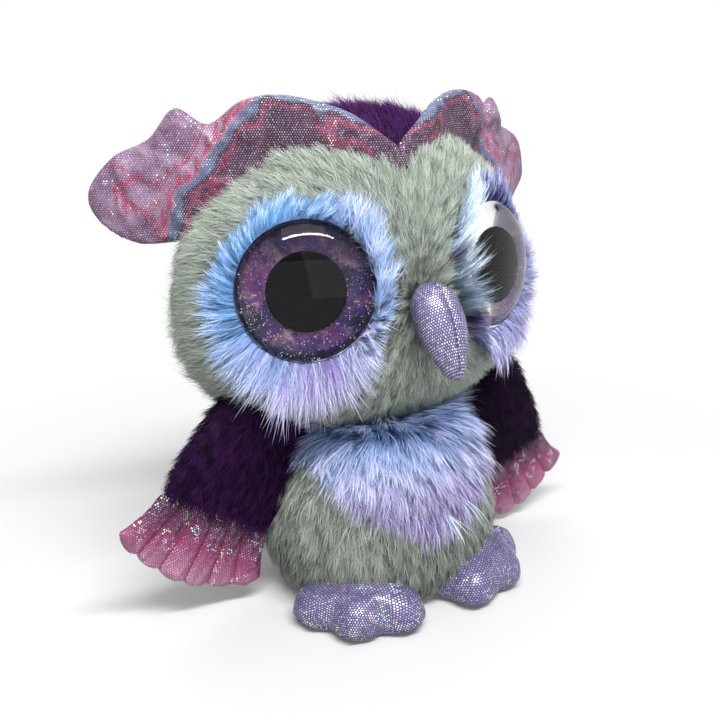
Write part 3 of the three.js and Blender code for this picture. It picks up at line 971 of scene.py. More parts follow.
@dataclass(frozen=True)
class Pile:
    """How a coat of pile grows, in millimetres and degrees. A free coat stands off its skin."""

    LANES = 8
    LEAST_SHARE = 0.05
    LENGTH_BY_LOCK, LENGTH_BY_WISP = 0.18, 0.08
    RISE_BY_LOCK = 0.2
    TAPER = 0.6
    ROUNDNESS = 0.55
    # Strands in the hollows between locks and wisps get lower lanes, and lower hues on coats whose
    # colours run dark to light: painted shade between the locks. TONE_BY_CHANCE adds a random tone.
    TONE, TONE_BY_WISP, TONE_BY_LOCK, TONE_BY_CHANCE = 3.5, 3.2, 1.2, 0.9
    HUE, HUE_BY_LOCK = 0.5, 0.1

    length: float
    width: float
    per_square_mm: float
    root_lift: float
    tip_lift: float
    steps: int = 2
    spread: float = 0.15
    wander: float = 12
    lock: float = 4
    lock_pull: float = 3
    wisp: float = 1.3
    wisp_pull: float = 0.9
    roll: float = 50
    lowest: float = -1000
    free: bool = False

    def grow(self, name: str, skin: Surface, lie: Rule, finish: Material, seed: int,
             cover: Rule | None = None, hue: Rule | None = None,
             lift: Rule | None = None) -> Object:
        """Grows a coat on a skin.

        Args:
            name: the coat's name.
            skin: the cloth that it grows from.
            lie: from points, the way that the pile lies.
            finish: the strands' material.
            seed: which random coat to grow.
            cover: from points, each strand's share of the full length, 0 where none grows.
            hue: from points, the hue from 0 to 1. Where a finish runs dark to light along it, as on the
                grey and purple coats, it carries painted light and shade.
            lift: from points, how many degrees more the pile stands up.

        Returns:
            The coat, as one object.
        """
        rng = np.random.default_rng(seed)
        root, normal = self._scatter(skin, rng)
        share = np.ones(len(root)) if cover is None else cover(root)
        kept = share > self.LEAST_SHARE
        root, normal, share = root[kept], normal[kept], share[kept]
        count = len(root)
        locks, wisps = Waves(self.lock, seed + 1), Waves(self.wisp, seed + 2)
        height, fine = locks.value(root), wisps.value(root)
        flow = unit(lie(root) if self.free else along(lie(root), normal))
        angle = np.radians(self.wander) * rng.normal(size=(count, 1))
        flow = flow * np.cos(angle) + np.cross(normal, flow) * np.sin(angle)
        length = self.length * share * (1 + self.spread * np.clip(rng.normal(size=count), -2, 2))
        length *= 1 + self.LENGTH_BY_LOCK * height + self.LENGTH_BY_WISP * fine
        pull = along(locks.slope(root) * self.lock_pull + wisps.slope(root) * self.wisp_pull, normal)
        roll = np.radians(rng.uniform(-self.roll, self.roll, (count, 1)))
        more = 0 if lift is None else lift(root)[:, None]
        place, rows, shades = root.copy(), [], []
        base = normal * 0.7
        if self.free:
            base = normal * 0.3 + flow * 0.2 + np.array([0, -0.35, 0.5])
        for step in range(self.steps + 1):
            t = step / self.steps
            steep = self.root_lift + (self.tip_lift - self.root_lift) * t
            rise = np.radians(steep * (1 + self.RISE_BY_LOCK * height[:, None]) + more)
            way = flow * np.cos(rise) + normal * np.sin(rise)
            if self.free:
                way = unit(normal * (1 - t) + flow * (0.3 + t))
            if step:
                drawn = pull * (share[:, None] * (2 * t - 1 / self.steps) / self.steps)
                place = place + way * (length / self.steps)[:, None] + drawn
            here = place.copy()
            here[:, 2] = np.maximum(here[:, 2], self.lowest)
            across = unit(np.cross(way, normal))
            face = np.cross(across, way)
            across, face = (across * np.cos(roll) + face * np.sin(roll),
                            face * np.cos(roll) - across * np.sin(roll))
            half = self.width * (1 - self.TAPER * t) / 2
            sides = [here] if step == self.steps else [here - across * half, here + across * half]
            rows += sides
            outward = np.sign(np.sum(face * normal, axis=1, keepdims=True))
            shades += [base + face * self.ROUNDNESS * outward] * len(sides)
        # The lane is a random tone plus painted shade, darker between locks and wisps.
        tone_and_shade = (self.TONE + self.TONE_BY_WISP * fine + self.TONE_BY_LOCK * height
                + self.TONE_BY_CHANCE * rng.normal(size=count))
        # On coats whose colours run dark to light, this sets how light a strand is painted, so it carries
        # painted light and shade.
        tint = (self.HUE if hue is None else hue(root)) + self.HUE_BY_LOCK * height
        return self._strands(name, rows, shades, finish, np.clip(tone_and_shade, 0, self.LANES - 1).astype(int),
                             np.clip(tint, 0.01, 0.99))

    def _scatter(self, skin: Surface, rng: np.random.Generator) -> tuple[Array, Array]:
        """Picks random places on a skin.

        Args:
            skin: the skin.
            rng: where the random numbers come from.

        Returns:
            The places, and the skin's normals there.
        """
        a, b, c = (skin.points[skin.corners[:, i]] for i in range(3))
        area = np.linalg.norm(np.cross(b - a, c - a), axis=1) / 2
        count = int(area.sum() * self.per_square_mm)
        pick = rng.choice(len(area), count, p=area / area.sum())
        u, v = rng.random((2, count, 1))
        u, v = np.where(u + v > 1, 1 - u, u), np.where(u + v > 1, 1 - v, v)
        root = a[pick] * (1 - u - v) + b[pick] * u + c[pick] * v
        na, nb, nc = (skin.normals[skin.corners[pick, i]] for i in range(3))
        return root, unit(na * (1 - u - v) + nb * u + nc * v)

    def _strands(self, name: str, rows: list[Array], shades: list[Array], finish: Material,
                 lane: Array, hue: Array) -> Object:
        """Joins rows of points into strands.

        Args:
            name: the coat's name.
            rows: the strands' points, row by row from the root: two for each step and one at the tip.
            shades: the shading normals, in the same order.
            finish: the strands' material.
            lane: each strand's lane of the finish.
            hue: each strand's hue.

        Returns:
            The coat, as one object.
        """
        count, per = len(hue), len(rows)
        points = np.stack(rows, axis=1).reshape(-1, 3)
        normals = np.stack(shades, axis=1).reshape(-1, 3)
        first = np.arange(count)[:, None] * per
        quads = np.vstack([first + [i, i + 1, i + 3, i + 2] for i in range(0, per - 3, 2)])
        tips = first + [per - 3, per - 2, per - 1]
        heights = np.repeat(np.linspace(0.05, 0.95, self.steps + 1), 2)[:per]
        up = (lane[:, None] + heights[None, :]) / self.LANES
        pairs = np.stack([np.repeat(hue[:, None], per, axis=1), up], axis=-1).reshape(-1, 2)
        return make_piece(name, points, [quads, tips], {PILE_UV: pairs}, finish, normals)


# The owl


@dataclass
class Part:
    """A sub-assembly in the owl's finishes. Its lengths are millimetres and its angles degrees."""

    finishes: "Finishes"


@dataclass
class Body(Part):
    """The pear-shaped body and its chest patch."""

    half_width: float = 58.5
    half_depth: float = 51
    belly_height: float = 34
    neck_height: float = 80
    neck_half_width: float = 41
    neck_set_back: float = 9
    base_half_width: float = 43
    base_thickness: float = 1.6
    end_gap: float = 0.4
    cloth_depth: float = 4.5
    chest_tip: float = 45
    chest_half_width: float = 41
    chest_steps: Pairs = ((0, 0), (5, 16), (16, 31))
    chest_hues: Pairs = ((45, 0.7), (51, 0.7), (60, 0.64), (68, 0.48), (76, 0.32))
    throat: Point = (0, 4, 98)
    collar: Pair = (69, 79)
    pile_start: float = 2.6
    neck_hole: float = 24
    chest_hole: float = 12
    chest_gap: float = 0.6
    coat: Pile = Pile(length=8.6, width=0.27, per_square_mm=3.9, root_lift=52, tip_lift=6, wander=13,
                      lock=4.4, lock_pull=3.2, wisp_pull=0.7, lowest=0.4)
    chest_coat: Pile = Pile(length=11.5, width=0.3, per_square_mm=5.4, root_lift=56, tip_lift=6, steps=4,
                            wander=10, lock=5.5, lock_pull=5, wisp=1.7, wisp_pull=1.2, spread=0.25)

    def form(self) -> Surface:
        """The pear under the pile, with a flat base and a flat neck.

        Returns:
            The surface.
        """
        inset = self.cloth_depth
        shoulder = ((self.half_width + self.neck_half_width) / 2 + 3,
                    (self.belly_height + self.neck_height) / 2 + 4)
        curve = smooth_curve([
            (self.base_half_width, 0), (self.half_width - 2.5, self.belly_height * 0.4),
            (self.half_width, self.belly_height), shoulder,
            (self.neck_half_width, self.neck_height)], 60)
        low, high = self.base_thickness + self.end_gap, self.neck_height - self.end_gap
        heights = low + (high - low) * curve[:, 1] / self.neck_height
        rows = np.column_stack([curve[:, 0] - inset, heights])
        rows = np.vstack([[0, low], [rows[0, 0] * 0.6, low], rows, [rows[-1, 0] * 0.6, high], [0, high]])
        flatten = (self.half_depth - inset) / (self.half_width - inset)

        def lean(points: Array) -> Array:
            """Flattens the pear front to back and leans it back as it rises."""
            x, y, z = points.T
            back = self.neck_set_back * (z / self.neck_height) ** 2
            return np.column_stack([x, y * flatten + back, z])

        return turned_form(rows, 144).reshaped(lean)

    def from_neck(self, points: Array) -> Array:
        """How far each point lies from the neck's middle line, seen from above."""
        return np.hypot(points[:, 0], points[:, 1] - self.neck_set_back)

    def in_chest(self, points: Array) -> Array:
        """Finds the chest patch.

        Args:
            points: the points.

        Returns:
            1 well inside the patch and 0 outside it.
        """
        neck = (self.neck_height - self.chest_tip, self.chest_half_width)
        above, wide = np.array([*self.chest_steps, neck]).T
        inside = np.interp(points[:, 2], self.chest_tip + above, wide) - np.abs(points[:, 0])
        front = (points[:, 1] < self.neck_set_back - 2) & (points[:, 2] > self.chest_tip)
        return np.where(front, ease(-1, 1, inside), 0)

    def lie(self, points: Array) -> Array:
        """The pile falls from the throat, fanning out, and stands up at the collar."""
        fall = 0.8 - 1.5 * ease(*self.collar, points[:, 2])[:, None]
        return unit(points - np.array(self.throat)) * 0.75 + fall * (0, 0, -1)

    def build(self) -> None:
        """Builds the body's skins, its pile and the chest."""
        skin = self.form()
        back_seam = self.neck_set_back
        front = skin.part(lambda m: m[:, 1] < back_seam)
        back = skin.part(lambda m: m[:, 1] >= back_seam)
        for half, surface in (("front", front), ("back", back)):
            cloth = surface.piece(f"body_{half}_cloth", self.finishes.grey_knit)
            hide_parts(f"body_{half}_skin")
            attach(cloth, "torso")
        walls = skin.part(lambda m: (m[:, 2] > self.pile_start) & (self.from_neck(m) > self.neck_hole))
        for seed, (half, sign) in enumerate((("front", -1), ("back", 1))):
            # The grey pile is painted darker towards the bottom of the body: painted shade.
            grown = self.coat.grow(
                f"body_{half}_pile", walls.part(lambda m: (m[:, 1] - back_seam) * sign >= 0), self.lie,
                self.finishes.grey_pile, 20 + seed, cover=lambda p: 1 - 0.93 * self.in_chest(p),
                hue=lambda p: 0.42 * ease(8, 60, p[:, 2]))
            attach(grown, "torso")
        self._chest(skin)

    def _chest(self, skin: Surface) -> None:
        """Builds the patch under the chin: blue above, pale lavender lower down, lilac at its tip.

        Args:
            skin: the whole body's cloth.
        """
        patch = skin.part(lambda m: (self.in_chest(m) > 0.4) & (self.from_neck(m) > self.chest_hole))
        patch = patch.reshaped(lambda p: p + unit(p * (1, 1, 0)) * self.chest_gap)
        cloth = patch.piece("chest_cloth", self.finishes.lilac_knit)
        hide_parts("chest_patch")
        grown = self.chest_coat.grow(
            "chest_pile", patch, self.lie, self.finishes.long_pile, 30,
            hue=lambda p: np.interp(p[:, 2], *np.array(self.chest_hues).T))
        for made in (cloth, grown):
            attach(made, "torso")


@dataclass
class Head(Part):
    """The broad round head: a grey face and a purple hood that meet at the ear seam."""

    half_width: float = 89
    half_depth: float = 59
    back: float = 22
    widest: float = 132
    crown: float = 86
    chin: float = 59
    cheek_fullness: float = 2.35
    crown_fullness: float = 1.95
    seam_forward: float = 36
    seam_sweep: float = 28.5
    bottom: float = 80.4
    cloth_depth: float = 4.5
    beak_seat: Point = (0, -36, 146)
    parting: Point = (0, -36, 140)
    neck_hole: float = 0.48
    chin_line: Pair = (84, 98)
    socket_floor: float = -4.5
    socket_depth: float = 12
    face_coat: Pile = Pile(length=7.8, width=0.23, per_square_mm=5.6, root_lift=56, tip_lift=8, wander=15,
                           lock=4.0, lock_pull=3.0, wisp_pull=0.65)
    hood_coat: Pile = Pile(length=7.4, width=0.3, per_square_mm=2.8, root_lift=54, tip_lift=14, wander=18,
                           lock=4.0, lock_pull=2.2, wisp_pull=0.6)

    def form(self) -> Surface:
        """The head's ovoid under the pile, cut flat at the neck.

        Returns:
            The surface.
        """
        grow = -self.cloth_depth
        angle = np.linspace(-math.pi / 2, math.pi / 2, 131)
        fullness = np.where(angle < 0, self.cheek_fullness, self.crown_fullness)
        reach = np.where(angle < 0, self.chin, self.crown) + grow
        radius = np.cos(angle) ** (2 / fullness)
        radius[[0, -1]] = 0
        height = np.sign(angle) * np.abs(np.sin(angle)) ** (2 / fullness) * reach
        rows = np.column_stack([radius, height])
        scale = np.array([self.half_width + grow, self.half_depth + grow, 1])

        def settle(points: Array) -> Array:
            """Widens the form, stands it in its place and flattens its bottom."""
            moved = points * scale + (0, self.back, self.widest)
            moved[:, 2] = np.maximum(moved[:, 2], self.bottom)
            return moved

        return turned_form(rows, 240).reshaped(settle)

    def outside(self, points: Array, grow: float = 0) -> Array:
        """Tells which points lie outside the head's ovoid.

        Args:
            points: the points.
            grow: how much larger the ovoid is all round.

        Returns:
            A number below 0 inside and above 0 outside.
        """
        across = np.hypot(points[:, 0] / (self.half_width + grow),
                          (points[:, 1] - self.back) / (self.half_depth + grow))
        above = points[:, 2] > self.widest
        fullness = np.where(above, self.crown_fullness, self.cheek_fullness)
        reach = np.where(above, self.crown, self.chin) + grow
        return across**fullness + (np.abs(points[:, 2] - self.widest) / reach) ** fullness - 1

    def seam(self, points: Array) -> Array:
        """How far each point lies behind the ear seam."""
        sweep = math.tan(math.radians(self.seam_sweep))
        return points[:, 1] - (self.back - self.seam_forward + np.abs(points[:, 0]) * sweep)

    def face_lie(self, points: Array) -> Array:
        """The face's pile fans out from behind the beak."""
        return unit(points - np.array(self.parting)) + (0, 0, -0.12)

    def hood_lie(self, points: Array) -> Array:
        """The hood's pile runs back over the head and down."""
        fall = np.clip((points[:, 1] + 5) / 45, 0.1, 1.6)[:, None]
        return unit(points - np.array(self.parting)) - np.array([0, 0, 1]) * fall

    def hood_hue(self, points: Array) -> Array:
        """The hood's pile is painted brighter towards the crown: painted light where it faces up."""
        return 0.28 + 0.3 * ease(150, 210, points[:, 2])

    def lift(self, points: Array) -> Array:
        """The pile hangs down from the chin instead of following it under, and stands round the beak."""
        from_beak = np.linalg.norm(points - self.beak_seat, axis=1)
        return 30 * (1 - ease(*self.chin_line, points[:, 2])) + 20 * (1 - ease(10, 17, from_beak))

    def face_cover(self, points: Array, eyes: Sequence["Eye"]) -> Array:
        """No pile grows under the eye patches or behind the ear seam, and more on the cheeks.

        Args:
            points: the strands' roots.
            eyes: the owl's eyes.

        Returns:
            Each strand's share of the full length.
        """
        share = np.ones(len(points))
        for eye in eyes:
            local = eye.place.into(points)
            across = np.hypot(local[:, 0], local[:, 1])
            start = eye.patch_radius - 1.5 - 2.5 * ease(0.1, 0.6, local[:, 1] / np.maximum(across, 1))
            share *= np.where(local[:, 2] > -10, ease(0, 2, across - start), 1)
        out = np.abs(points[:, 0])
        behind = self.seam(points) + 7 * ease(25, 60, out)
        return share * (1 + 0.3 * ease(50, 78, out)) * (1 - ease(-3, 0, behind))

    def build(self, eyes: Sequence["Eye"]) -> None:
        """Builds the face and the hood, each of cloth and pile.

        Args:
            eyes: the owl's eyes.
        """
        skin = self.form().reshaped(lambda p: self._sockets(p, eyes))
        for name, keep, node in (("face", lambda m: self.seam(m) < 0, "face_skin"),
                                 ("hood", lambda m: self.seam(m) >= 0, "hood_skin")):
            knit = self.finishes.grey_knit if name == "face" else self.finishes.purple_knit
            cloth = skin.part(keep).piece(f"{name}_cloth", knit)
            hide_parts(node)
            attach(cloth, "head")
        rim = (self.half_width * self.neck_hole, self.half_depth * self.neck_hole)
        grower = self.form().part(
            lambda m: (m[:, 2] > self.bottom + 0.2)
            | (np.hypot(m[:, 0] / rim[0], (m[:, 1] - self.back) / rim[1]) > 1))
        for seed, side in enumerate(Side):
            half = grower.part(lambda m: m[:, 0] * side.value >= 0)
            grown = self.face_coat.grow(
                f"face_{side.word}_pile", half.part(lambda m: self.seam(m) < 0), self.face_lie,
                self.finishes.grey_pile, 40 + seed, cover=lambda p: self.face_cover(p, eyes),
                lift=self.lift)
            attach(grown, "head")
            grown = self.hood_coat.grow(
                f"hood_{side.word}_pile", half.part(lambda m: self.seam(m) >= 1), self.hood_lie,
                self.finishes.purple_pile, 50 + seed, hue=self.hood_hue, lift=self.lift,
                cover=lambda p: 1 + 0.25 * ease(195, 212, p[:, 2]))
            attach(grown, "head")

    def _sockets(self, points: Array, eyes: Sequence["Eye"]) -> Array:
        """Presses the eye sockets into the head's cloth.

        Args:
            points: the cloth's points.
            eyes: the owl's eyes.

        Returns:
            The moved points.
        """
        for eye in eyes:
            local = eye.place.into(points)
            across = np.hypot(local[:, 0], local[:, 1])
            dish = eye.dish_height(across, np.arctan2(local[:, 1], local[:, 0])) - 1.5
            floor = np.where(across < eye.radius + 2, self.socket_floor, dish)
            pressed = (across < eye.patch_radius + 1) & (local[:, 2] > -self.socket_depth)
            local[:, 2] = np.where(pressed, np.minimum(local[:, 2], floor), local[:, 2])
            points = eye.place.out(local)
        return points


@dataclass
class Eye(Part):
    """A clear dome over a printed disc, in a ring of long pile."""

    side: Side
    head: Head
    radius: float = 28.5
    out: float = 44.5
    sink: float = 24
    height: float = 147
    yaw: float = 22
    pitch: float = 7
    patch_radius: float = 33.5
    rim_height: float = 4.2
    lens_back: float = 2.0
    lens_rim: float = 2.4
    lens_height: float = 13
    iris_top: float = 0.9
    pupil_radius: float = 15.4
    overlap: float = 1
    ring_gap: float = 0.4
    brim_depth: float = 3.6
    lengths: Pairs = (
        (-180, 0.5), (-150, 0.7), (-120, 0.95), (-90, 1.0), (-60, 0.9), (-30, 0.8), (0, 0.8), (45, 0.8),
        (70, 0.55), (90, 0.35), (110, 0.45), (140, 0.25), (165, 0.32), (180, 0.5))
    coat: Pile = Pile(length=16.5, width=0.27, per_square_mm=7.5, root_lift=60, tip_lift=6, steps=4,
                      wander=11, lock=4.5, lock_pull=5.5, wisp=1.7, wisp_pull=1.3, spread=0.28, free=True)

    @cached_property
    def place(self) -> Place:
        """The eye's axes: +Z out of the head, +Y up the face, its seat at height 0."""
        turn = turned_about("Z", self.side.value * self.yaw) @ turned_about("X", 90 - self.pitch)
        front = self.head.back - self.head.half_depth
        return Place((self.side.value * self.out, front + self.sink, self.height), turn)

    @cached_property
    def _brim(self) -> tuple[Array, Array]:
        """The rim of the patch.

        Returns:
            Angles round the eye, and at each the height of the head's surface above the eye's seat.
        """
        angles = np.linspace(-math.pi, math.pi, 145)
        across = self.patch_radius + self.overlap

        def inside(height: Array) -> Array:
            """Whether the patch's edge, at these heights, lies in the head."""
            ring = np.column_stack([across * np.cos(angles), across * np.sin(angles), height])
            return self.head.outside(self.place.out(ring), -self.brim_depth) < 0

        low, _ = narrowed(inside, np.full(145, -20.0), np.full(145, 60.0), 30)
        return angles, low

    def dish_height(self, across: Array, angle: Array) -> Array:
        """Follows the patch's cloth.

        Args:
            across: distances from the eye's axis.
            angle: angles round it.

        Returns:
            The cloth's heights above the eye's seat.
        """
        brim = np.interp(angle, *self._brim)
        wide = self.patch_radius + self.overlap - self.radius - self.ring_gap
        share = np.clip((across - self.radius - self.ring_gap) / wide, 0, 1)
        return self.rim_height + (brim - self.rim_height) * share**0.85

    def patch(self) -> Surface:
        """The ring of cloth round the lens.

        Returns:
            The surface.
        """
        radii = np.linspace(self.patch_radius + self.overlap, self.radius + self.ring_gap, 15)

        def rise(points: Array) -> Array:
            """Lifts the flat ring to the dish."""
            x, y, _ = points.T
            z = self.dish_height(np.hypot(x, y), np.arctan2(y, x))
            return self.place.out(np.column_stack([x, y, z]))

        return turned_form(np.column_stack([radii, np.zeros(15)]), 160).reshaped(rise)

    def _round(self, points: Array) -> tuple[Array, Array]:
        """Tells where on the ring points lie.

        Args:
            points: points of the frame.

        Returns:
            1 on the side of the beak to -1 on the outer side, and 1 above to -1 below.
        """
        local = self.place.into(points)
        across = np.maximum(np.hypot(local[:, 0], local[:, 1]), 1e-6)
        return -self.side.value * local[:, 0] / across, local[:, 1] / across

    def lie(self, points: Array) -> Array:
        """The ring's pile fans out from the lens, hangs below it and is combed up beside the beak.

        Args:
            points: the strands' roots.

        Returns:
            The way that each strand lies.
        """
        nose, up = self._round(points)
        outward = np.column_stack([-self.side.value * nose, up, np.zeros(len(up))])
        by_beak = ease(0.1, 0.9, nose)[:, None]
        below = ease(0.2, 0.9, -up)[:, None]
        beyond = ease(0.2, 0.9, -nose)[:, None]
        above = ease(-0.1, 0.7, up)[:, None]
        combed = (0.1 + by_beak * (0.9 + 0.4 * above) + 0.45 * beyond) * ease(-0.7, 0.1, up)[:, None]
        standing = 0.3 + by_beak * (0.6 - 0.45 * above) - 0.3 * below - 0.2 * beyond
        if self.side is Side.LEFT:
            standing += 0.5 * by_beak
        swept = 0.7 * above * (1 - by_beak) * (-self.side.value, 0, 0)
        way = outward * (1 - 0.85 * by_beak) + combed * (0, 1, 0) + swept + standing * (0, 0, 1)
        return way @ self.place.turn.T

    def length_share(self, points: Array) -> Array:
        """The ring's pile is longest below, and shortest above on the outer side.

        Args:
            points: the strands' roots.

        Returns:
            Each strand's share of the full length.
        """
        nose, up = self._round(points)
        share = np.interp(np.degrees(np.arctan2(up, nose)), *np.array(self.lengths).T)
        if self.side is Side.LEFT:
            share += 0.1 * ease(0.5, 0.9, up) - 0.3 * ease(0.3, 0.9, -up) - 0.05 * ease(0.3, 1, -nose)
        return share

    def hue(self, points: Array) -> Array:
        """Blue above and on the owl's right, lavender below and on its left, pale beside the beak. The
        left eye's ring is painted paler than the right's: painted light.

        Args:
            points: the strands' roots.

        Returns:
            Each strand's hue.
        """
        nose, up = self._round(points)
        left = -self.side.value * nose
        plain = np.clip(0.3 + 0.24 * left - 0.28 * up * (1 - 0.8 * np.maximum(left, 0)), 0.02, 0.6)
        # The left ring is painted paler above and beside the beak than the right ring: painted light over
        # strands in shade.
        if self.side is Side.LEFT:
            plain = np.maximum(plain, 0.52)
        beside, paler = (0.3, 0.1) if self.side is Side.RIGHT else (1.0, -0.1)
        return plain + (beside - plain) * ease(paler, paler + 0.45, nose) * ease(-0.75, -0.35, up)

    def build(self) -> None:
        """Builds the ring, the lens and the discs behind it."""
        word = self.side.word
        patch = self.patch()
        cloth = patch.piece(f"{word}_eye_ring_cloth", self.finishes.lilac_knit)
        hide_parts(f"{word}_eye_patch")
        grown = self.coat.grow(f"{word}_eye_ring_pile", patch, self.lie, self.finishes.long_pile,
                               60 + self.side.value, cover=self.length_share, hue=self.hue)
        lens = self._lens().piece(f"{word}_lens", self.finishes.lens)
        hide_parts(f"{word}_eye_lens")
        iris = self._disc(self.radius - 1, 0.3, self.iris_top).piece(f"{word}_iris", self.finishes.iris)
        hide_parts(f"{word}_iris_disc")
        pupil = self._disc(self.pupil_radius, 1.2, self.lens_back + 0.06).piece(
            f"{word}_pupil", self.finishes.pupil)
        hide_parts(f"{word}_pupil_disc")
        slots = ("long_plush", "long_plush", "clear_dome", "iris_print", "black_plastic")
        for made, slot in zip((cloth, grown, lens, iris, pupil), slots):
            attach(made, "head")

    def _lens(self) -> Surface:
        """The dome, flat at the back.

        Returns:
            The surface, with a depth of 1 where its edge is painted.
        """
        angles = np.linspace(0, math.pi / 2, 40)
        back, rim = self.lens_back, self.lens_back + self.lens_rim
        dome = np.column_stack([self.radius * np.cos(angles),
                                rim + (self.lens_height - self.lens_rim) * np.sin(angles)])
        dome[-1, 0] = 0
        edge = [[0, back], [self.radius * 0.5, back], [self.radius - 0.6, back],
                [self.radius - 0.3, back], [self.radius, back + 0.3]]
        form = turned_form(np.vstack([edge, dome]), 144)
        across = np.hypot(form.points[:, 0], form.points[:, 1])
        painted = (across > self.radius - 0.5) & (form.points[:, 2] < rim + 1.2)
        depth = np.column_stack([painted, np.zeros(len(painted))]).astype(float)
        return Surface(self.place.out(form.points), form.quads, form.triangles, {DEPTH_UV: depth})

    def _disc(self, radius: float, low: float, high: float) -> Surface:
        """A flat disc with a map from -1 to 1.

        Args:
            radius: its radius.
            low: the height of its back.
            high: the height of its front.

        Returns:
            The surface.
        """
        rows = [[0, low], [radius, low], [radius, high]]
        rows += [[radius * (1 - i / 12), high] for i in range(1, 13)]
        disc = turned_form(np.array(rows, float), 96)
        flat = disc.points[:, :2] / radius
        return Surface(self.place.out(disc.points), disc.quads, disc.triangles, {CLOTH_UV: flat})


@dataclass
class Beak(Part):
    """A padded teardrop of foil cloth with a seam down its front."""

    head: Head
    length: float = 38
    half_width: float = 11
    half_depth: float = 8.5
    tilt: float = 42
    hook: float = 5
    seam_width: float = 0.12
    seam_depth: float = 0.09
    ridge_width: float = 0.6
    ridge_height: float = 0.1
    profile: Pairs = (
        (0, 1), (0.19, 0.985), (0.38, 0.93), (0.66, 0.77), (0.93, 0.53), (1, 0.3), (0.9, 0.1),
        (0.55, -0.03), (0.2, -0.075), (0, -0.08))

    def build(self) -> None:
        """Builds the beak's skin and its seam."""
        curve = smooth_curve(self.profile, 90)
        curve[:, 0] = np.maximum(curve[:, 0], 0)
        form = turned_form(np.column_stack([curve[:, 0], -curve[:, 1] * self.length]), 96)
        angle = np.arctan2(form.points[:, 0], -form.points[:, 1])
        round_way = np.hypot(form.points[:, 0], form.points[:, 1]) * 0.5 + 0.5
        cloth = np.column_stack([angle * self.half_width * round_way, form.points[:, 2]])
        place = Place(self.head.beak_seat, turned_about("X", -self.tilt))

        def shape(points: Array) -> Array:
            """Widens the turned form, hooks its tip forward and draws in its seam."""
            x, y, z = points.T
            down = -z / self.length
            seam = np.exp(-((angle / self.seam_width) ** 2)) * self.seam_depth
            ridge = 1 + self.ridge_height * np.exp(-((angle / self.ridge_width) ** 2)) - seam
            x = x * self.half_width * ridge
            y = y * self.half_depth * ridge + self.hook * down**2
            return place.out(np.column_stack([x, y, z]))

        maps = {CLOTH_UV: cloth, DEPTH_UV: np.zeros_like(cloth)}
        skin = Surface(shape(form.points), form.quads, form.triangles, maps)
        made = skin.piece("beak", self.finishes.beak_foil)
        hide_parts("beak_skin")
        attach(made, "head")


@dataclass
class PaddedPanel:
    """A flat padded shape: two layers of cloth sewn together at their edge and along any seams."""

    outline: Array
    puff: float
    reach: float
    spacing: float
    seams: Sequence[Array] = ()

    ROW_PITCH = 0.87
    EDGE_GAP = 0.6
    SEAM_GAP = 0.12
    SEWN_WITHIN = 0.15

    @cached_property
    def edge(self) -> Array:
        """The outline, closed."""
        return np.vstack([self.outline, self.outline[:1]])

    @cached_property
    def flat(self) -> tuple[Array, Array, Array]:
        """Fills the panel with points a little apart.

        Returns:
            The flat points, their triangles, and which points lie on the edge.
        """
        low, high = self.outline.min(axis=0), self.outline.max(axis=0)
        xs = np.arange(low[0], high[0], self.spacing)
        ys = np.arange(low[1], high[1], self.spacing * self.ROW_PITCH)
        grid = np.array([(x + (i % 2) * self.spacing / 2, y) for i, y in enumerate(ys) for x in xs])
        apart = distance_to([self.edge, *self.seams], grid) > self.spacing * self.EDGE_GAP
        start = len(self.outline)
        joined = [(i, (i + 1) % start) for i in range(start)]
        for seam in self.seams:
            joined += [(start + i, start + i + 1) for i in range(len(seam) - 1)]
            start += len(seam)
        every = np.vstack([self.outline, *self.seams, grid[self._within(grid) & apart]])
        out = delaunay_2d_cdt([Vector(p) for p in every], joined, [], 1, 1e-4)
        flat = np.array([tuple(p) for p in out[0]])
        triangles = np.array([f for f in out[2] if len(f) == 3])
        return flat, triangles, distance_to([self.edge], flat) < 1e-3

    def _within(self, points: Array) -> Array:
        """Finds the points inside the outline.

        Args:
            points: the flat points.

        Returns:
            Whether each is inside.
        """
        inside = np.zeros(len(points), bool)
        for (x0, y0), (x1, y1) in zip(self.outline, np.roll(self.outline, -1, axis=0)):
            if y0 == y1:
                continue
            crosses = (y0 > points[:, 1]) != (y1 > points[:, 1])
            inside ^= crosses & (points[:, 0] < x0 + (points[:, 1] - y0) / (y1 - y0) * (x1 - x0))
        return inside

    def sewn(self, surface: Surface) -> Array:
        """Which of a surface's points lie on the panel's edge or a seam."""
        return distance_to([self.edge, *self.seams], surface.maps[CLOTH_UV]) < self.SEWN_WITHIN

    def rise(self, flat: Array) -> Array:
        """Rounds the padding up from its edge and seams.

        Args:
            flat: the flat points.

        Returns:
            Half the panel's thickness at each.
        """
        near = distance_to([self.edge], flat)
        if self.seams:
            near = np.minimum(near, distance_to(self.seams, flat) + self.SEAM_GAP)
        share = np.clip(near / self.reach, 0, 1)
        return self.puff * np.sqrt(1 - (1 - share) ** 2)

    def surface(self, stand: Stand, depth: Rule) -> Surface:
        """The closed panel.

        Args:
            stand: from flat points and a height off the panel's middle, the points in the frame.
            depth: from flat points, the cloth's depth from 0 to 1.

        Returns:
            The surface of both layers.
        """
        flat, triangles, edge = self.flat
        height = self.rise(flat)
        count = len(flat)
        back = np.arange(count) + count
        back[edge] = np.arange(count)[edge]
        points = np.vstack([stand(flat, height), stand(flat, -height)])
        deep = np.column_stack([depth(flat), np.zeros(count)])
        maps = {CLOTH_UV: np.vstack([flat, flat]), DEPTH_UV: np.vstack([deep, deep])}
        both = np.vstack([triangles, back[triangles][:, ::-1]])
        return Surface(points, NO_QUADS, NO_TRIANGLES, maps).with_faces(NO_QUADS, both)


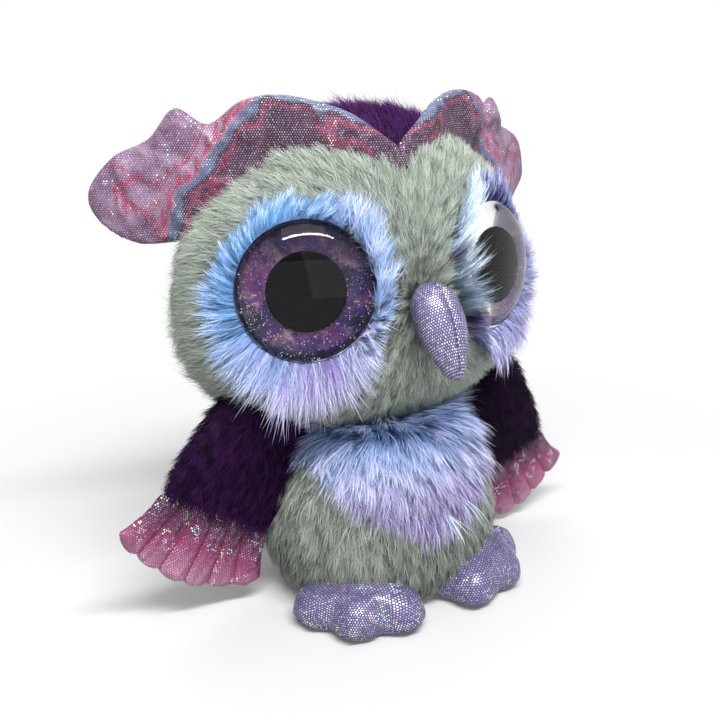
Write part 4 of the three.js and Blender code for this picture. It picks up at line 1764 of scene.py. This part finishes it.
@dataclass
class Ear(Part):
    """A flat padded horn of printed foil cloth, standing on the ear seam."""

    side: Side
    head: Head
    span: float = 128
    top: float = 222
    height: float = 59
    outline: Pairs = (
        (0, 0.42), (-0.016, 0.59), (0.1, 0.8), (0.2, 0.915), (0.367, 1), (0.5, 0.965),
        (0.61, 0.81), (0.71, 0.915), (0.8, 0.71), (0.915, 0.59), (1, 0.355), (0.977, 0.15),
        (0.86, 0), (0.735, 0), (0.61, 0.05), (0.485, 0.12), (0.235, 0.29))
    puff: float = 2.9
    reach: float = 9
    shading: float = 34

    def _sewn(self, out: Array) -> Array:
        """Follows the ear seam over the head.

        Args:
            out: distances along the seam, out from the head's middle.

        Returns:
            The height of the head's surface at each.
        """
        sweep = math.radians(self.head.seam_sweep)
        x = out * math.cos(sweep) / self.head.half_width
        y = (out * math.sin(sweep) - self.head.seam_forward) / self.head.half_depth
        share = np.clip(1 - np.hypot(x, y) ** self.head.crown_fullness, 0, 1)
        return self.head.widest + self.head.crown * share ** (1 / self.head.crown_fullness)

    def build(self) -> None:
        """Builds the ear."""
        shares = np.array(self.outline)
        known = np.column_stack([
            shares[:, 0] * self.span, self.top - self.height + shares[:, 1] * self.height])
        panel = PaddedPanel(smooth_curve(known, 150, closed=True), self.puff, self.reach, spacing=1.5)
        sweep = math.radians(self.head.seam_sweep)
        out = np.array([self.side.value * math.cos(sweep), math.sin(sweep), 0])
        forward = np.array([self.side.value * math.sin(sweep), -math.cos(sweep), 0])
        base = np.array([0, self.head.back - self.head.seam_forward, 0])
        waves = Waves(34, 70 + self.side.value)
        creases = Waves(9, 72 + self.side.value)

        def stand(flat: Array, height: Array) -> Array:
            """Stands the flat ear on the seam, gently waved."""
            lifted = np.column_stack([flat[:, 0], np.zeros(len(flat)), flat[:, 1]])
            wave = waves.value(lifted) * 1.5 + creases.value(lifted) * 0.35 * np.abs(height) / self.puff
            through = (height + wave)[:, None] * forward
            return base + flat[:, :1] * out + flat[:, 1:] * (0, 0, 1) + through

        def depth(flat: Array) -> Array:
            """The height above the sewn edge, as a share of what the print is shaded over."""
            return np.clip((flat[:, 1] - self._sewn(flat[:, 0])) / self.shading, 0, 1)

        surface = panel.surface(stand, depth).part(lambda m: self.head.outside(m, -8) > 0)
        if self.side is Side.RIGHT:
            surface.triangles = surface.triangles[:, ::-1]
        made = surface.piece(f"{self.side.word}_ear", self.finishes.print_foil)
        Filling().press(made, panel.sewn(surface) | (self.head.outside(surface.points, -4) < 0))
        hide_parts(f"{self.side.word}_ear_front", f"{self.side.word}_ear_back",
                    f"{self.side.word}_ear_wadding")
        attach(made, f"{self.side.word}_ear")


@dataclass
class Wing(Part):
    """A plush sleeve with a padded feather panel in its cuff."""

    side: Side
    shoulder: Point
    lean: float
    head: Head
    sleeve_length: float = 53
    sleeve_half_width: float = 30
    top_half_width: float = 23
    cap: float = 10
    half_thickness: float = 13
    cuff_half_width: float = 27.5
    cuff_half_thickness: float = 7.5
    cloth_depth: float = 3
    feather_length: float = 35.5
    feather_half_width: float = 36.5
    bow: float = 10
    tip_depth: float = 1.8
    sides: Pairs = ((0.77, 0.04), (0.82, 0.22), (0.89, 0.42), (1, 0.62))
    channels: int = 6
    channel_steps: int = 12
    thread_lift: float = 0.8
    thread_radii: Pair = (0.22, 0.4)
    coat: Pile = Pile(length=6.2, width=0.3, per_square_mm=3.6, root_lift=46, tip_lift=12, wander=18,
                      lock=4.2, lock_pull=1.8, wisp_pull=0.6)

    @cached_property
    def place(self) -> Place:
        """The wing's axes: -Z down the sleeve, X across it and Y through it."""
        turn = turned_about("Z", 180 if self.side is Side.RIGHT else 0) @ turned_about("Y", -self.lean)
        x, y, z = self.shoulder
        return Place((self.side.value * x, y, z), turn)

    @property
    def forward(self) -> float:
        """Which way along the wing's own Y the owl looks."""
        return 1 if self.side is Side.RIGHT else -1

    def sleeve(self) -> Surface:
        """The sleeve's form under the pile.

        Returns:
            The surface, in the wing's axes.
        """
        inset = self.cloth_depth
        cuff = -self.sleeve_length
        middle = (self.sleeve_half_width + self.top_half_width) / 2
        rows = smooth_curve([
            (self.cuff_half_width, cuff), (self.sleeve_half_width, cuff * 0.82),
            (self.sleeve_half_width * 0.96, cuff * 0.55), (middle, cuff * 0.22),
            (self.top_half_width, -self.cap * 0.1), (self.top_half_width * 0.62, self.cap * 0.7),
            (inset, self.cap)], 60)
        rows[:, 0] = np.maximum(rows[:, 0] - inset, 0)
        rows = np.vstack([[0, cuff + 1], [rows[0, 0] * 0.5, cuff + 1], rows[:-1], [0, self.cap - inset]])

        def flatten(points: Array) -> Array:
            """Flattens the turned form towards its cuff."""
            x, y, z = points.T
            to_cuff = ease(self.sleeve_length * 0.4, self.sleeve_length, -z)
            thinner = self.cuff_half_thickness - self.half_thickness
            half = self.half_thickness + thinner * to_cuff - inset
            return np.column_stack([x, y * half / (self.sleeve_half_width - inset), z])

        return turned_form(rows, 96).reshaped(flatten)

    def lie(self, points: Array) -> Array:
        """The sleeve's pile lies down towards the cuff."""
        x, y, _ = self.place.into(points).T
        return np.column_stack([x * 0.012, 0 * y, 0 * y - 1]) @ self.place.turn.T

    def build(self) -> None:
        """Builds the sleeve, its pile and the feather panel."""
        word = self.side.word
        sleeve = self.sleeve().reshaped(self.place.out).reshaped(self._pressed)
        cloth = sleeve.piece(f"{word}_sleeve_cloth", self.finishes.purple_knit)
        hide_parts(f"{word}_wing_sleeve")
        walls = sleeve.part(lambda m: self.place.into(m)[:, 2] > -self.sleeve_length + 1.2)
        # The sleeves' pile is painted as a lit copy on the right sleeve and a darker, shaded copy on the
        # left: painted light and shade.
        grown = self.coat.grow(
            f"{word}_sleeve_pile", walls, self.lie, self.finishes.purple_pile, 80 + self.side.value,
            cover=lambda p: 0.45 + 0.55 * ease(0, 0.12, self.head.outside(p, -4)),
            hue=lambda p: np.full(len(p), 0.27 if self.side is Side.RIGHT else 0.03))
        for made in (cloth, grown):
            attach(made, f"{word}_wing")
        self._feathers()

    def _pressed(self, points: Array) -> Array:
        """Moves what would lie in the head down to just under it.

        Args:
            points: points of the sleeve, in the owl's frame.

        Returns:
            The moved points.
        """
        def inside(drop: Array) -> Array:
            """Which points are still in the head after a drop."""
            low = points - drop[:, None] * (0, 0, 1)
            return (self.head.outside(low, -4) < 0) & (low[:, 2] > self.head.bottom - 1)

        none = np.zeros(len(points))
        _, drop = narrowed(inside, none, none + 30, 14)
        return points - np.where(inside(none), drop, 0)[:, None] * (0, 0, 1)

    def _outline(self) -> tuple[Array, list[Array]]:
        """Draws the feather panel.

        Returns:
            Its outline, and the seams that part its channels.
        """
        cuff, half = -self.sleeve_length, self.feather_half_width
        root = self.cuff_half_width - 6
        longest = cuff - self.feather_length
        share = np.linspace(1, -1, self.channels * self.channel_steps + 1)
        across = share * (half + 0.5 - share**8)
        pulled = np.abs(np.sin(np.linspace(0, math.pi * self.channels, len(share)))) ** 0.7
        edge = np.column_stack([across, longest + self.bow * share**2 + self.tip_depth * (1 - pulled)])
        side = [(0, cuff + 5), (root / 2, cuff + 5), (root - 1, cuff + 4), (root, cuff)]
        side += [(out * half, cuff - drop * self.feather_length) for out, drop in self.sides]
        flank = smooth_curve([*side, tuple(edge[0])], 40)
        mirrored = flank[::-1] * (-1, 1)
        outline = np.vstack([flank[:-1], edge, mirrored[1:-1]])
        seams = []
        way = np.linspace(0, 1, 16)[:, None]
        for end in edge[self.channel_steps:-1:self.channel_steps]:
            start = np.array([end[0] * 0.62, cuff + 2.5])
            seams.append(start + (end - start) * way * 0.985)
        return outline, seams

    def _feathers(self) -> None:
        """Builds the padded fan and its threads."""
        outline, seams = self._outline()
        panel = PaddedPanel(outline, puff=2.7, reach=4.6, spacing=1.0, seams=seams)
        waves = Waves(26, 90 + self.side.value)
        creases = Waves(3.6, 92 + self.side.value)
        cuff = -self.sleeve_length

        def stand(flat: Array, height: Array) -> Array:
            """Stands the panel in the wing's plane, with gathers under the cuff and soft creases."""
            lifted = np.column_stack([flat[:, 0], np.zeros(len(flat)), flat[:, 1] * 0.3])
            tucked = ease(cuff - 16, cuff + 3, flat[:, 1])
            side = np.sign(height) * np.minimum(np.abs(height), 1)
            gather = creases.value(lifted) * (0.25 + 0.5 * tucked) * side
            wave = waves.value(lifted) * 1.2 * (1 - tucked)
            through = (height * (1 - 0.35 * tucked) + gather + wave) * self.forward
            return self.place.out(np.column_stack([flat[:, 0], through, flat[:, 1]]))

        surface = panel.surface(
            stand, lambda flat: np.clip((cuff - flat[:, 1]) / self.feather_length, 0, 1))
        if self.side is Side.RIGHT:
            surface.triangles = surface.triangles[:, ::-1]
        self._threads(seams, stand)
        made = surface.piece(f"{self.side.word}_feathers", self.finishes.pink_foil)
        Filling().press(made, panel.sewn(surface))
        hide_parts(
            *(f"{self.side.word}_feather_{layer}" for layer in ("front", "back", "wadding")))
        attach(made, f"{self.side.word}_wing")

    def _threads(self, seams: Sequence[Array], stand: Stand) -> None:
        """Lays a crimson thread along each seam, heavier along every other one.

        Args:
            seams: the seams.
            stand: from flat points and a height off the panel's middle, the points in the frame.
        """
        for i, seam in enumerate(seams):
            path = stand(smooth_curve(seam, 40), np.full(40, self.thread_lift))
            thread = tube(path, self.thread_radii[i % 2]).piece(
                f"{self.side.word}_feather_thread_{i + 1}", self.finishes.thread)
            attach(thread, f"{self.side.word}_wing")


@dataclass
class Foot(Part):
    """A padded foot with three toes."""

    side: Side
    body: Body
    out: float = 29
    forward: float = 31
    splay: float = 36
    radius: float = 21.5
    spread: float = 0.25
    toe_reach: float = 5.2
    toes: int = 3
    height: float = 19
    lift: float = 0.4
    profile: Pairs = (
        (0.8, 0.0), (0.95, 0.12), (1.0, 0.3), (0.985, 0.5), (0.89, 0.76), (0.68, 0.92), (0.3, 1.0),
        (0.1, 1.0))
    seam_height: float = 0.2
    seam_size: float = 0.035
    toe_dip: float = 0.07
    crease: float = 0.3
    body_squash: float = 1.08
    hidden_depth: float = 26
    held_depth: float = 20
    held_height: float = 0.22

    @cached_property
    def place(self) -> Place:
        """The foot's axes: -Y towards the toes."""
        origin = (self.side.value * self.out, -self.forward, self.lift)
        return Place(origin, turned_about("Z", self.side.value * self.splay))

    def waving(self, angle: Array, sign: int) -> Array:
        """A wave over the foot's front half, highest at the toes, or between them for a sign of -1."""
        wave = 0.5 + sign * 0.5 * np.cos(2 * self.toes * angle)
        return np.where(np.abs(angle) < math.pi / 2, wave, 0)

    def reach(self, angle: Array, across: Array) -> Array:
        """The foot's radius at an angle from straight ahead. Its three toes part only near its edge.

        Args:
            angle: the angles, in radians.
            across: how far out each point lies, 1 at the edge.

        Returns:
            The radii, in millimetres.
        """
        toes = self.waving(angle, 1) ** 0.75
        whole = np.maximum(toes, ease(0, 0.5, np.cos(angle)))
        toes = whole + (toes - whole) * ease(0.5, 0.98, across)
        return self.radius * (1 + self.spread * np.sin(angle) ** 2) + self.toe_reach * toes

    def build(self) -> None:
        """Builds the foot's cover, which is its upper and its sole."""
        rows = np.vstack([[0, 0.0], [0.4, 0.0], smooth_curve(self.profile, 46), [0, 1.0]])
        form = turned_form(rows, 180)
        angle = np.arctan2(form.points[:, 0], -form.points[:, 1])
        across = np.hypot(form.points[:, 0], form.points[:, 1])
        run = across * self.reach(angle, across)
        steps = np.linalg.norm(np.diff(rows * (self.radius, self.height), axis=0), axis=1)
        over = np.concatenate([np.cumsum(steps[::-1])[::-1], [0]])
        level = np.interp(form.points[:, 2] * self.height - across * 1e-3,
                          rows[:, 1] * self.height - rows[:, 0] * 1e-3, over)
        cloth = np.column_stack([np.sin(angle), -np.cos(angle)]) * level[:, None]
        between = self.waving(angle, -1)
        creases = Waves(7, 100 + self.side.value)

        def shape(points: Array) -> Array:
            """Spreads the toes and lets the top sink between them."""
            dip = 1 - self.toe_dip * between * ease(0.6, 0.98, across)
            below = (points[:, 2] - self.seam_height) / self.seam_size
            seam = 1 - self.seam_size * np.exp(-(below**2))
            x = np.sin(angle) * run * seam
            y = -np.cos(angle) * run * seam
            z = points[:, 2] * self.height * dip
            local = np.column_stack([x, y, z])
            swell = creases.value(local) * self.crease * ease(0, 4, z)
            local[:, :2] += unit(local[:, :2]) * swell[:, None]
            return self.place.out(local)

        maps = {CLOTH_UV: cloth, DEPTH_UV: np.zeros_like(cloth)}
        surface = Surface(shape(form.points), form.quads, form.triangles, maps)
        surface = surface.part(lambda m: self._from_wall(m) > -self.hidden_depth)
        made = surface.piece(f"{self.side.word}_foot_cover", self.finishes.lilac_foil)
        rear = self._from_wall(surface.points) < -self.held_depth
        Filling(most=1.2).press(made, (surface.points[:, 2] < self.height * self.held_height) | rear)
        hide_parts(f"{self.side.word}_foot_upper", f"{self.side.word}_foot_sole")
        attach(made, f"{self.side.word}_foot")

    def _from_wall(self, points: Array) -> Array:
        """How far outside the body's widest girth points lie, seen from above."""
        return np.hypot(points[:, 0], points[:, 1] * self.body_squash) - self.body.half_width


class Finishes:
    """Every material of the owl, made once."""

    def __init__(self) -> None:
        """Makes the materials."""
        roots, tips = (0.12, 0.065, 0.26), (0.27, 0.19, 0.45)
        self.grey_pile = PileFinish(
            "grey_pile", ((0, (0.08, 0.09, 0.078)), (1, (0.13, 0.145, 0.125))),
            ((0, (0.2, 0.225, 0.195)), (0.45, (0.42, 0.475, 0.415)), (1, (0.52, 0.585, 0.5))),
            contrast=1.0).material()
        self.purple_pile = PileFinish(
            "purple_pile", ((0, (0.002, 0.0004, 0.004)), (1, (0.006, 0.001, 0.01))),
            ((0, (0.005, 0.001, 0.009)), (1, (0.085, 0.014, 0.135))),
            contrast=1.4, gloss=0.08).material()
        # The palest stops, at 0.9 and 1, serve only the left eye's ring beside the beak: painted light.
        self.long_pile = PileFinish(
            "long_pile",
            ((0, (0.09, 0.25, 0.5)), (0.3, (0.13, 0.23, 0.5)), (0.55, (0.22, 0.22, 0.46)), (0.75, roots),
             (0.82, roots), (0.9, (0.45, 0.62, 0.85)), (1, (0.62, 0.78, 0.98))),
            ((0, (0.11, 0.32, 0.64)), (0.3, (0.27, 0.42, 0.72)), (0.55, (0.53, 0.55, 0.8)), (0.75, tips),
             (0.82, tips), (0.9, (0.7, 0.86, 1.0)), (1, (0.82, 0.93, 1.0))),
            frost=0.55, contrast=0.95).material()
        # The knits that pile grows from are painted darker than their pile: painted shadow of the strands
        # over them.
        self.grey_knit = KnitFinish("grey_knit", (0.05, 0.055, 0.05), (0.12, 0.13, 0.12)).material()
        self.purple_knit = KnitFinish(
            "purple_knit", (0.002, 0.0006, 0.004), (0.008, 0.002, 0.014)).material()
        self.lilac_knit = KnitFinish("lilac_knit", (0.06, 0.11, 0.26), (0.18, 0.22, 0.46)).material()
        lilac = self._even((0.07, 0.055, 0.15))
        self.lilac_foil = FoilFinish("lilac_foil", lilac, self._even((0.42, 0.4, 0.62)), glints=0.6,
                                     metal=0.75, shine=(0.9, 0.9, 0.95)).material()
        self.beak_foil = FoilFinish(
            "beak_foil", lilac, self._even((0.5, 0.48, 0.7)), pitch=1.2, glints=0.7, metal=0.75,
            seam=0.7, shine=(1.0, 1.0, 1.0)).material()
        self.pink_foil = FoilFinish(
            "pink_foil",
            ((0, (0.03, 0.005, 0.03)), (0.3, (0.07, 0.008, 0.05)), (0.55, (0.2, 0.025, 0.1)),
             (1, (0.3, 0.13, 0.21))),
            ((0, (0.12, 0.04, 0.11)), (0.35, (0.2, 0.07, 0.15)), (0.6, (0.38, 0.13, 0.24)),
             (1, (0.55, 0.4, 0.48))),
            glints=0.4, metal=0.3, shine=(0.5, 0.36, 0.45)).material()
        mauve = ((0, (0.25, 0.17, 0.26)), (1, (0.33, 0.25, 0.34)))
        self.print_foil = PrintFinish(
            "print_foil", mauve, mauve, glints=0.1, metal=0.25, shine=(0.5, 0.42, 0.52)).material()
        self.thread = PlainFinish("thread", (0.35, 0.005, 0.05), 0.6).material()
        self.lens = LensFinish().material()
        self.iris = IrisFinish().material()
        self.pupil = PlainFinish("pupil_plastic", (0.003, 0.003, 0.004), 0.6, 0.0).material()
        self.black = PlainFinish("black_plastic", (0.012, 0.013, 0.016), 0.4).material()
        self.fibre = PlainFinish("fibre_fill", (0.85, 0.84, 0.8), 1.0, 0.1, 500, 0.001).material()
        self.nylon = PlainFinish("white_plastic", (0.7, 0.69, 0.65), 0.45).material()
        self.base_cloth = KnitFinish("base_cloth", (0.12, 0.13, 0.12), (0.24, 0.26, 0.23)).material()

    @staticmethod
    def _even(colour: Colour) -> Stops:
        """The stops of a ramp of one colour."""
        return (0, colour), (1.0, colour)

    def dress_frame(self) -> None:
        """Gives the frame's own pieces that stay their materials."""
        by_end = {"stuffing": self.fibre, "wadding": self.fibre, "pouch": self.nylon, "post": self.black,
                  "washer": self.nylon, "panel": self.base_cloth}
        for name, node in frame["nodes"].items():
            material = by_end.get(name.split("_")[-1])
            if material is not None:
                node.data.materials.clear()
                node.data.materials.append(material)


@dataclass(frozen=True)
class Lamp:
    """A soft lamp that faces the owl. Lengths are metres and angles are degrees."""

    name: str
    size: Pair
    power: float
    azimuth: float
    elevation: float
    distance: float


@dataclass
class Studio:
    """A pale floor that sweeps up all round, soft lamps and the camera. Lengths are metres."""

    floor_radius: float = 1.2
    sweep_radius: float = 1.2
    floor_grey: Colour = (0.56, 0.56, 0.56)
    shadow_reach: Pair = (0.13, 0.34)
    world_light: float = 0.3
    lamp_aim: Point = (0, 0, 0.12)
    lamps: tuple[Lamp, ...] = (
        Lamp("strip_lamp", (0.8, 0.095), 14.5, azimuth=-14, elevation=59, distance=0.95),
        Lamp("top_lamp", (0.9, 0.9), 5.0, azimuth=-20, elevation=80, distance=1.2),
        Lamp("front_lamp", (1.3, 1.3), 3.0, azimuth=8, elevation=24, distance=1.3),
        Lamp("back_lamp", (1.3, 1.3), 9.0, azimuth=165, elevation=42, distance=1.3))
    camera_place: Point = (-0.204, -0.3287, 0.2409)
    azimuth: float = -30.38
    elevation: float = 19.32
    lens: float = 45
    sensor: float = 36

    def build(self) -> None:
        """Builds the floor, the world, the lamps and the camera."""
        self._floor()
        self._world()
        for lamp in self.lamps:
            self._light(lamp)
        camera = bpy.data.cameras.new("camera")
        camera.lens = self.lens
        camera.sensor_width = self.sensor
        camera.clip_start = 0.01
        way = self._toward(self.azimuth, self.elevation)
        bpy.context.scene.camera = self._facing("camera", camera, self.camera_place, way)
        bpy.context.scene.view_settings.view_transform = "Standard"

    @staticmethod
    def _toward(azimuth: float, elevation: float) -> Vector:
        """The way from the owl towards a place seen at these angles."""
        a, e = math.radians(azimuth), math.radians(elevation)
        return Vector((math.sin(a) * math.cos(e), -math.cos(a) * math.cos(e), math.sin(e)))

    @staticmethod
    def _facing(name: str, data: bpy.types.ID, place: Sequence[float], way: Vector) -> Object:
        """Adds a lamp or camera to the scene.

        Args:
            name: the object's name.
            data: its lamp or camera data.
            place: where it stands.
            way: the way from what it faces towards it.

        Returns:
            The object.
        """
        made = bpy.data.objects.new(name, data)
        made.location = place
        made.rotation_mode = "QUATERNION"
        made.rotation_quaternion = (-way).to_track_quat("-Z", "Y")
        bpy.context.scene.collection.objects.link(made)
        return made

    def _light(self, lamp: Lamp) -> None:
        """Adds one lamp to the scene.

        Args:
            lamp: the lamp.
        """
        light = bpy.data.lights.new(lamp.name, "AREA")
        light.shape = "RECTANGLE"
        light.size, light.size_y = lamp.size
        light.energy = lamp.power
        way = self._toward(lamp.azimuth, lamp.elevation)
        self._facing(lamp.name, light, Vector(self.lamp_aim) + way * lamp.distance, way)

    def _floor(self) -> None:
        """Builds the floor, whose edge sweeps up."""
        angles = np.linspace(0, math.pi / 2, 12)
        sweep = np.column_stack([self.floor_radius + self.sweep_radius * np.sin(angles),
                                 self.sweep_radius * (1 - np.cos(angles))])
        form = turned_form(np.vstack([[[0, 0], [0.3, 0], [self.floor_radius, 0]], sweep[1:]]) / MM, 96)
        tree = Tree.named("studio_floor")
        seen = tree.seen()
        paint = tree.value("BsdfDiffuse", {}, {"Color": self.floor_grey})
        white = tree.value("Emission", {}, {"Color": (1, 1, 1), "Strength": 1.0})
        share = seen * (0.06 + tree.step(tree.length(tree.place()), *self.shadow_reach) * 0.94)
        floor = form.piece("studio_floor", tree.finish(tree.blend(share, paint, white)))
        floor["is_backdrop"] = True

    def _world(self) -> None:
        """Lights the owl plainly and softly from all round."""
        world = bpy.data.worlds.new("studio")
        tree = Tree(world)
        sky = {"Color": (1, 1, 1), "Strength": self.world_light}
        tree.finish(tree.value("Background", {}, sky))
        bpy.context.scene.world = world


def corners(box: tuple[Vector, Vector]) -> list[list[float]]:
    """A box's two corners as plain lists."""
    return [list(corner) for corner in box]


def main() -> None:
    """Builds the owl and its studio."""
    logging.basicConfig(level=logging.INFO)
    cad_box = corners(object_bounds())
    finishes = Finishes()
    finishes.dress_frame()
    body = Body(finishes)
    head = Head(finishes)
    eyes = [Eye(finishes, Side.RIGHT, head), Eye(finishes, Side.LEFT, head, patch_radius=35.5)]
    LOG.info("body")
    body.build()
    LOG.info("head")
    head.build(eyes)
    for eye in eyes:
        eye.build()
    Beak(finishes, head).build()
    for wing in (Wing(finishes, Side.RIGHT, (52.5, 3, 94), 33, head),
                 Wing(finishes, Side.LEFT, (55.5, 3, 88), 21, head)):
        LOG.info("%s side", wing.side.word)
        Ear(finishes, wing.side, head).build()
        wing.build()
        Foot(finishes, wing.side, body).build()
    Studio().build()
    {"cad": cad_box, "visual": corners(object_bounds())}


if __name__ == "__main__":
    main()
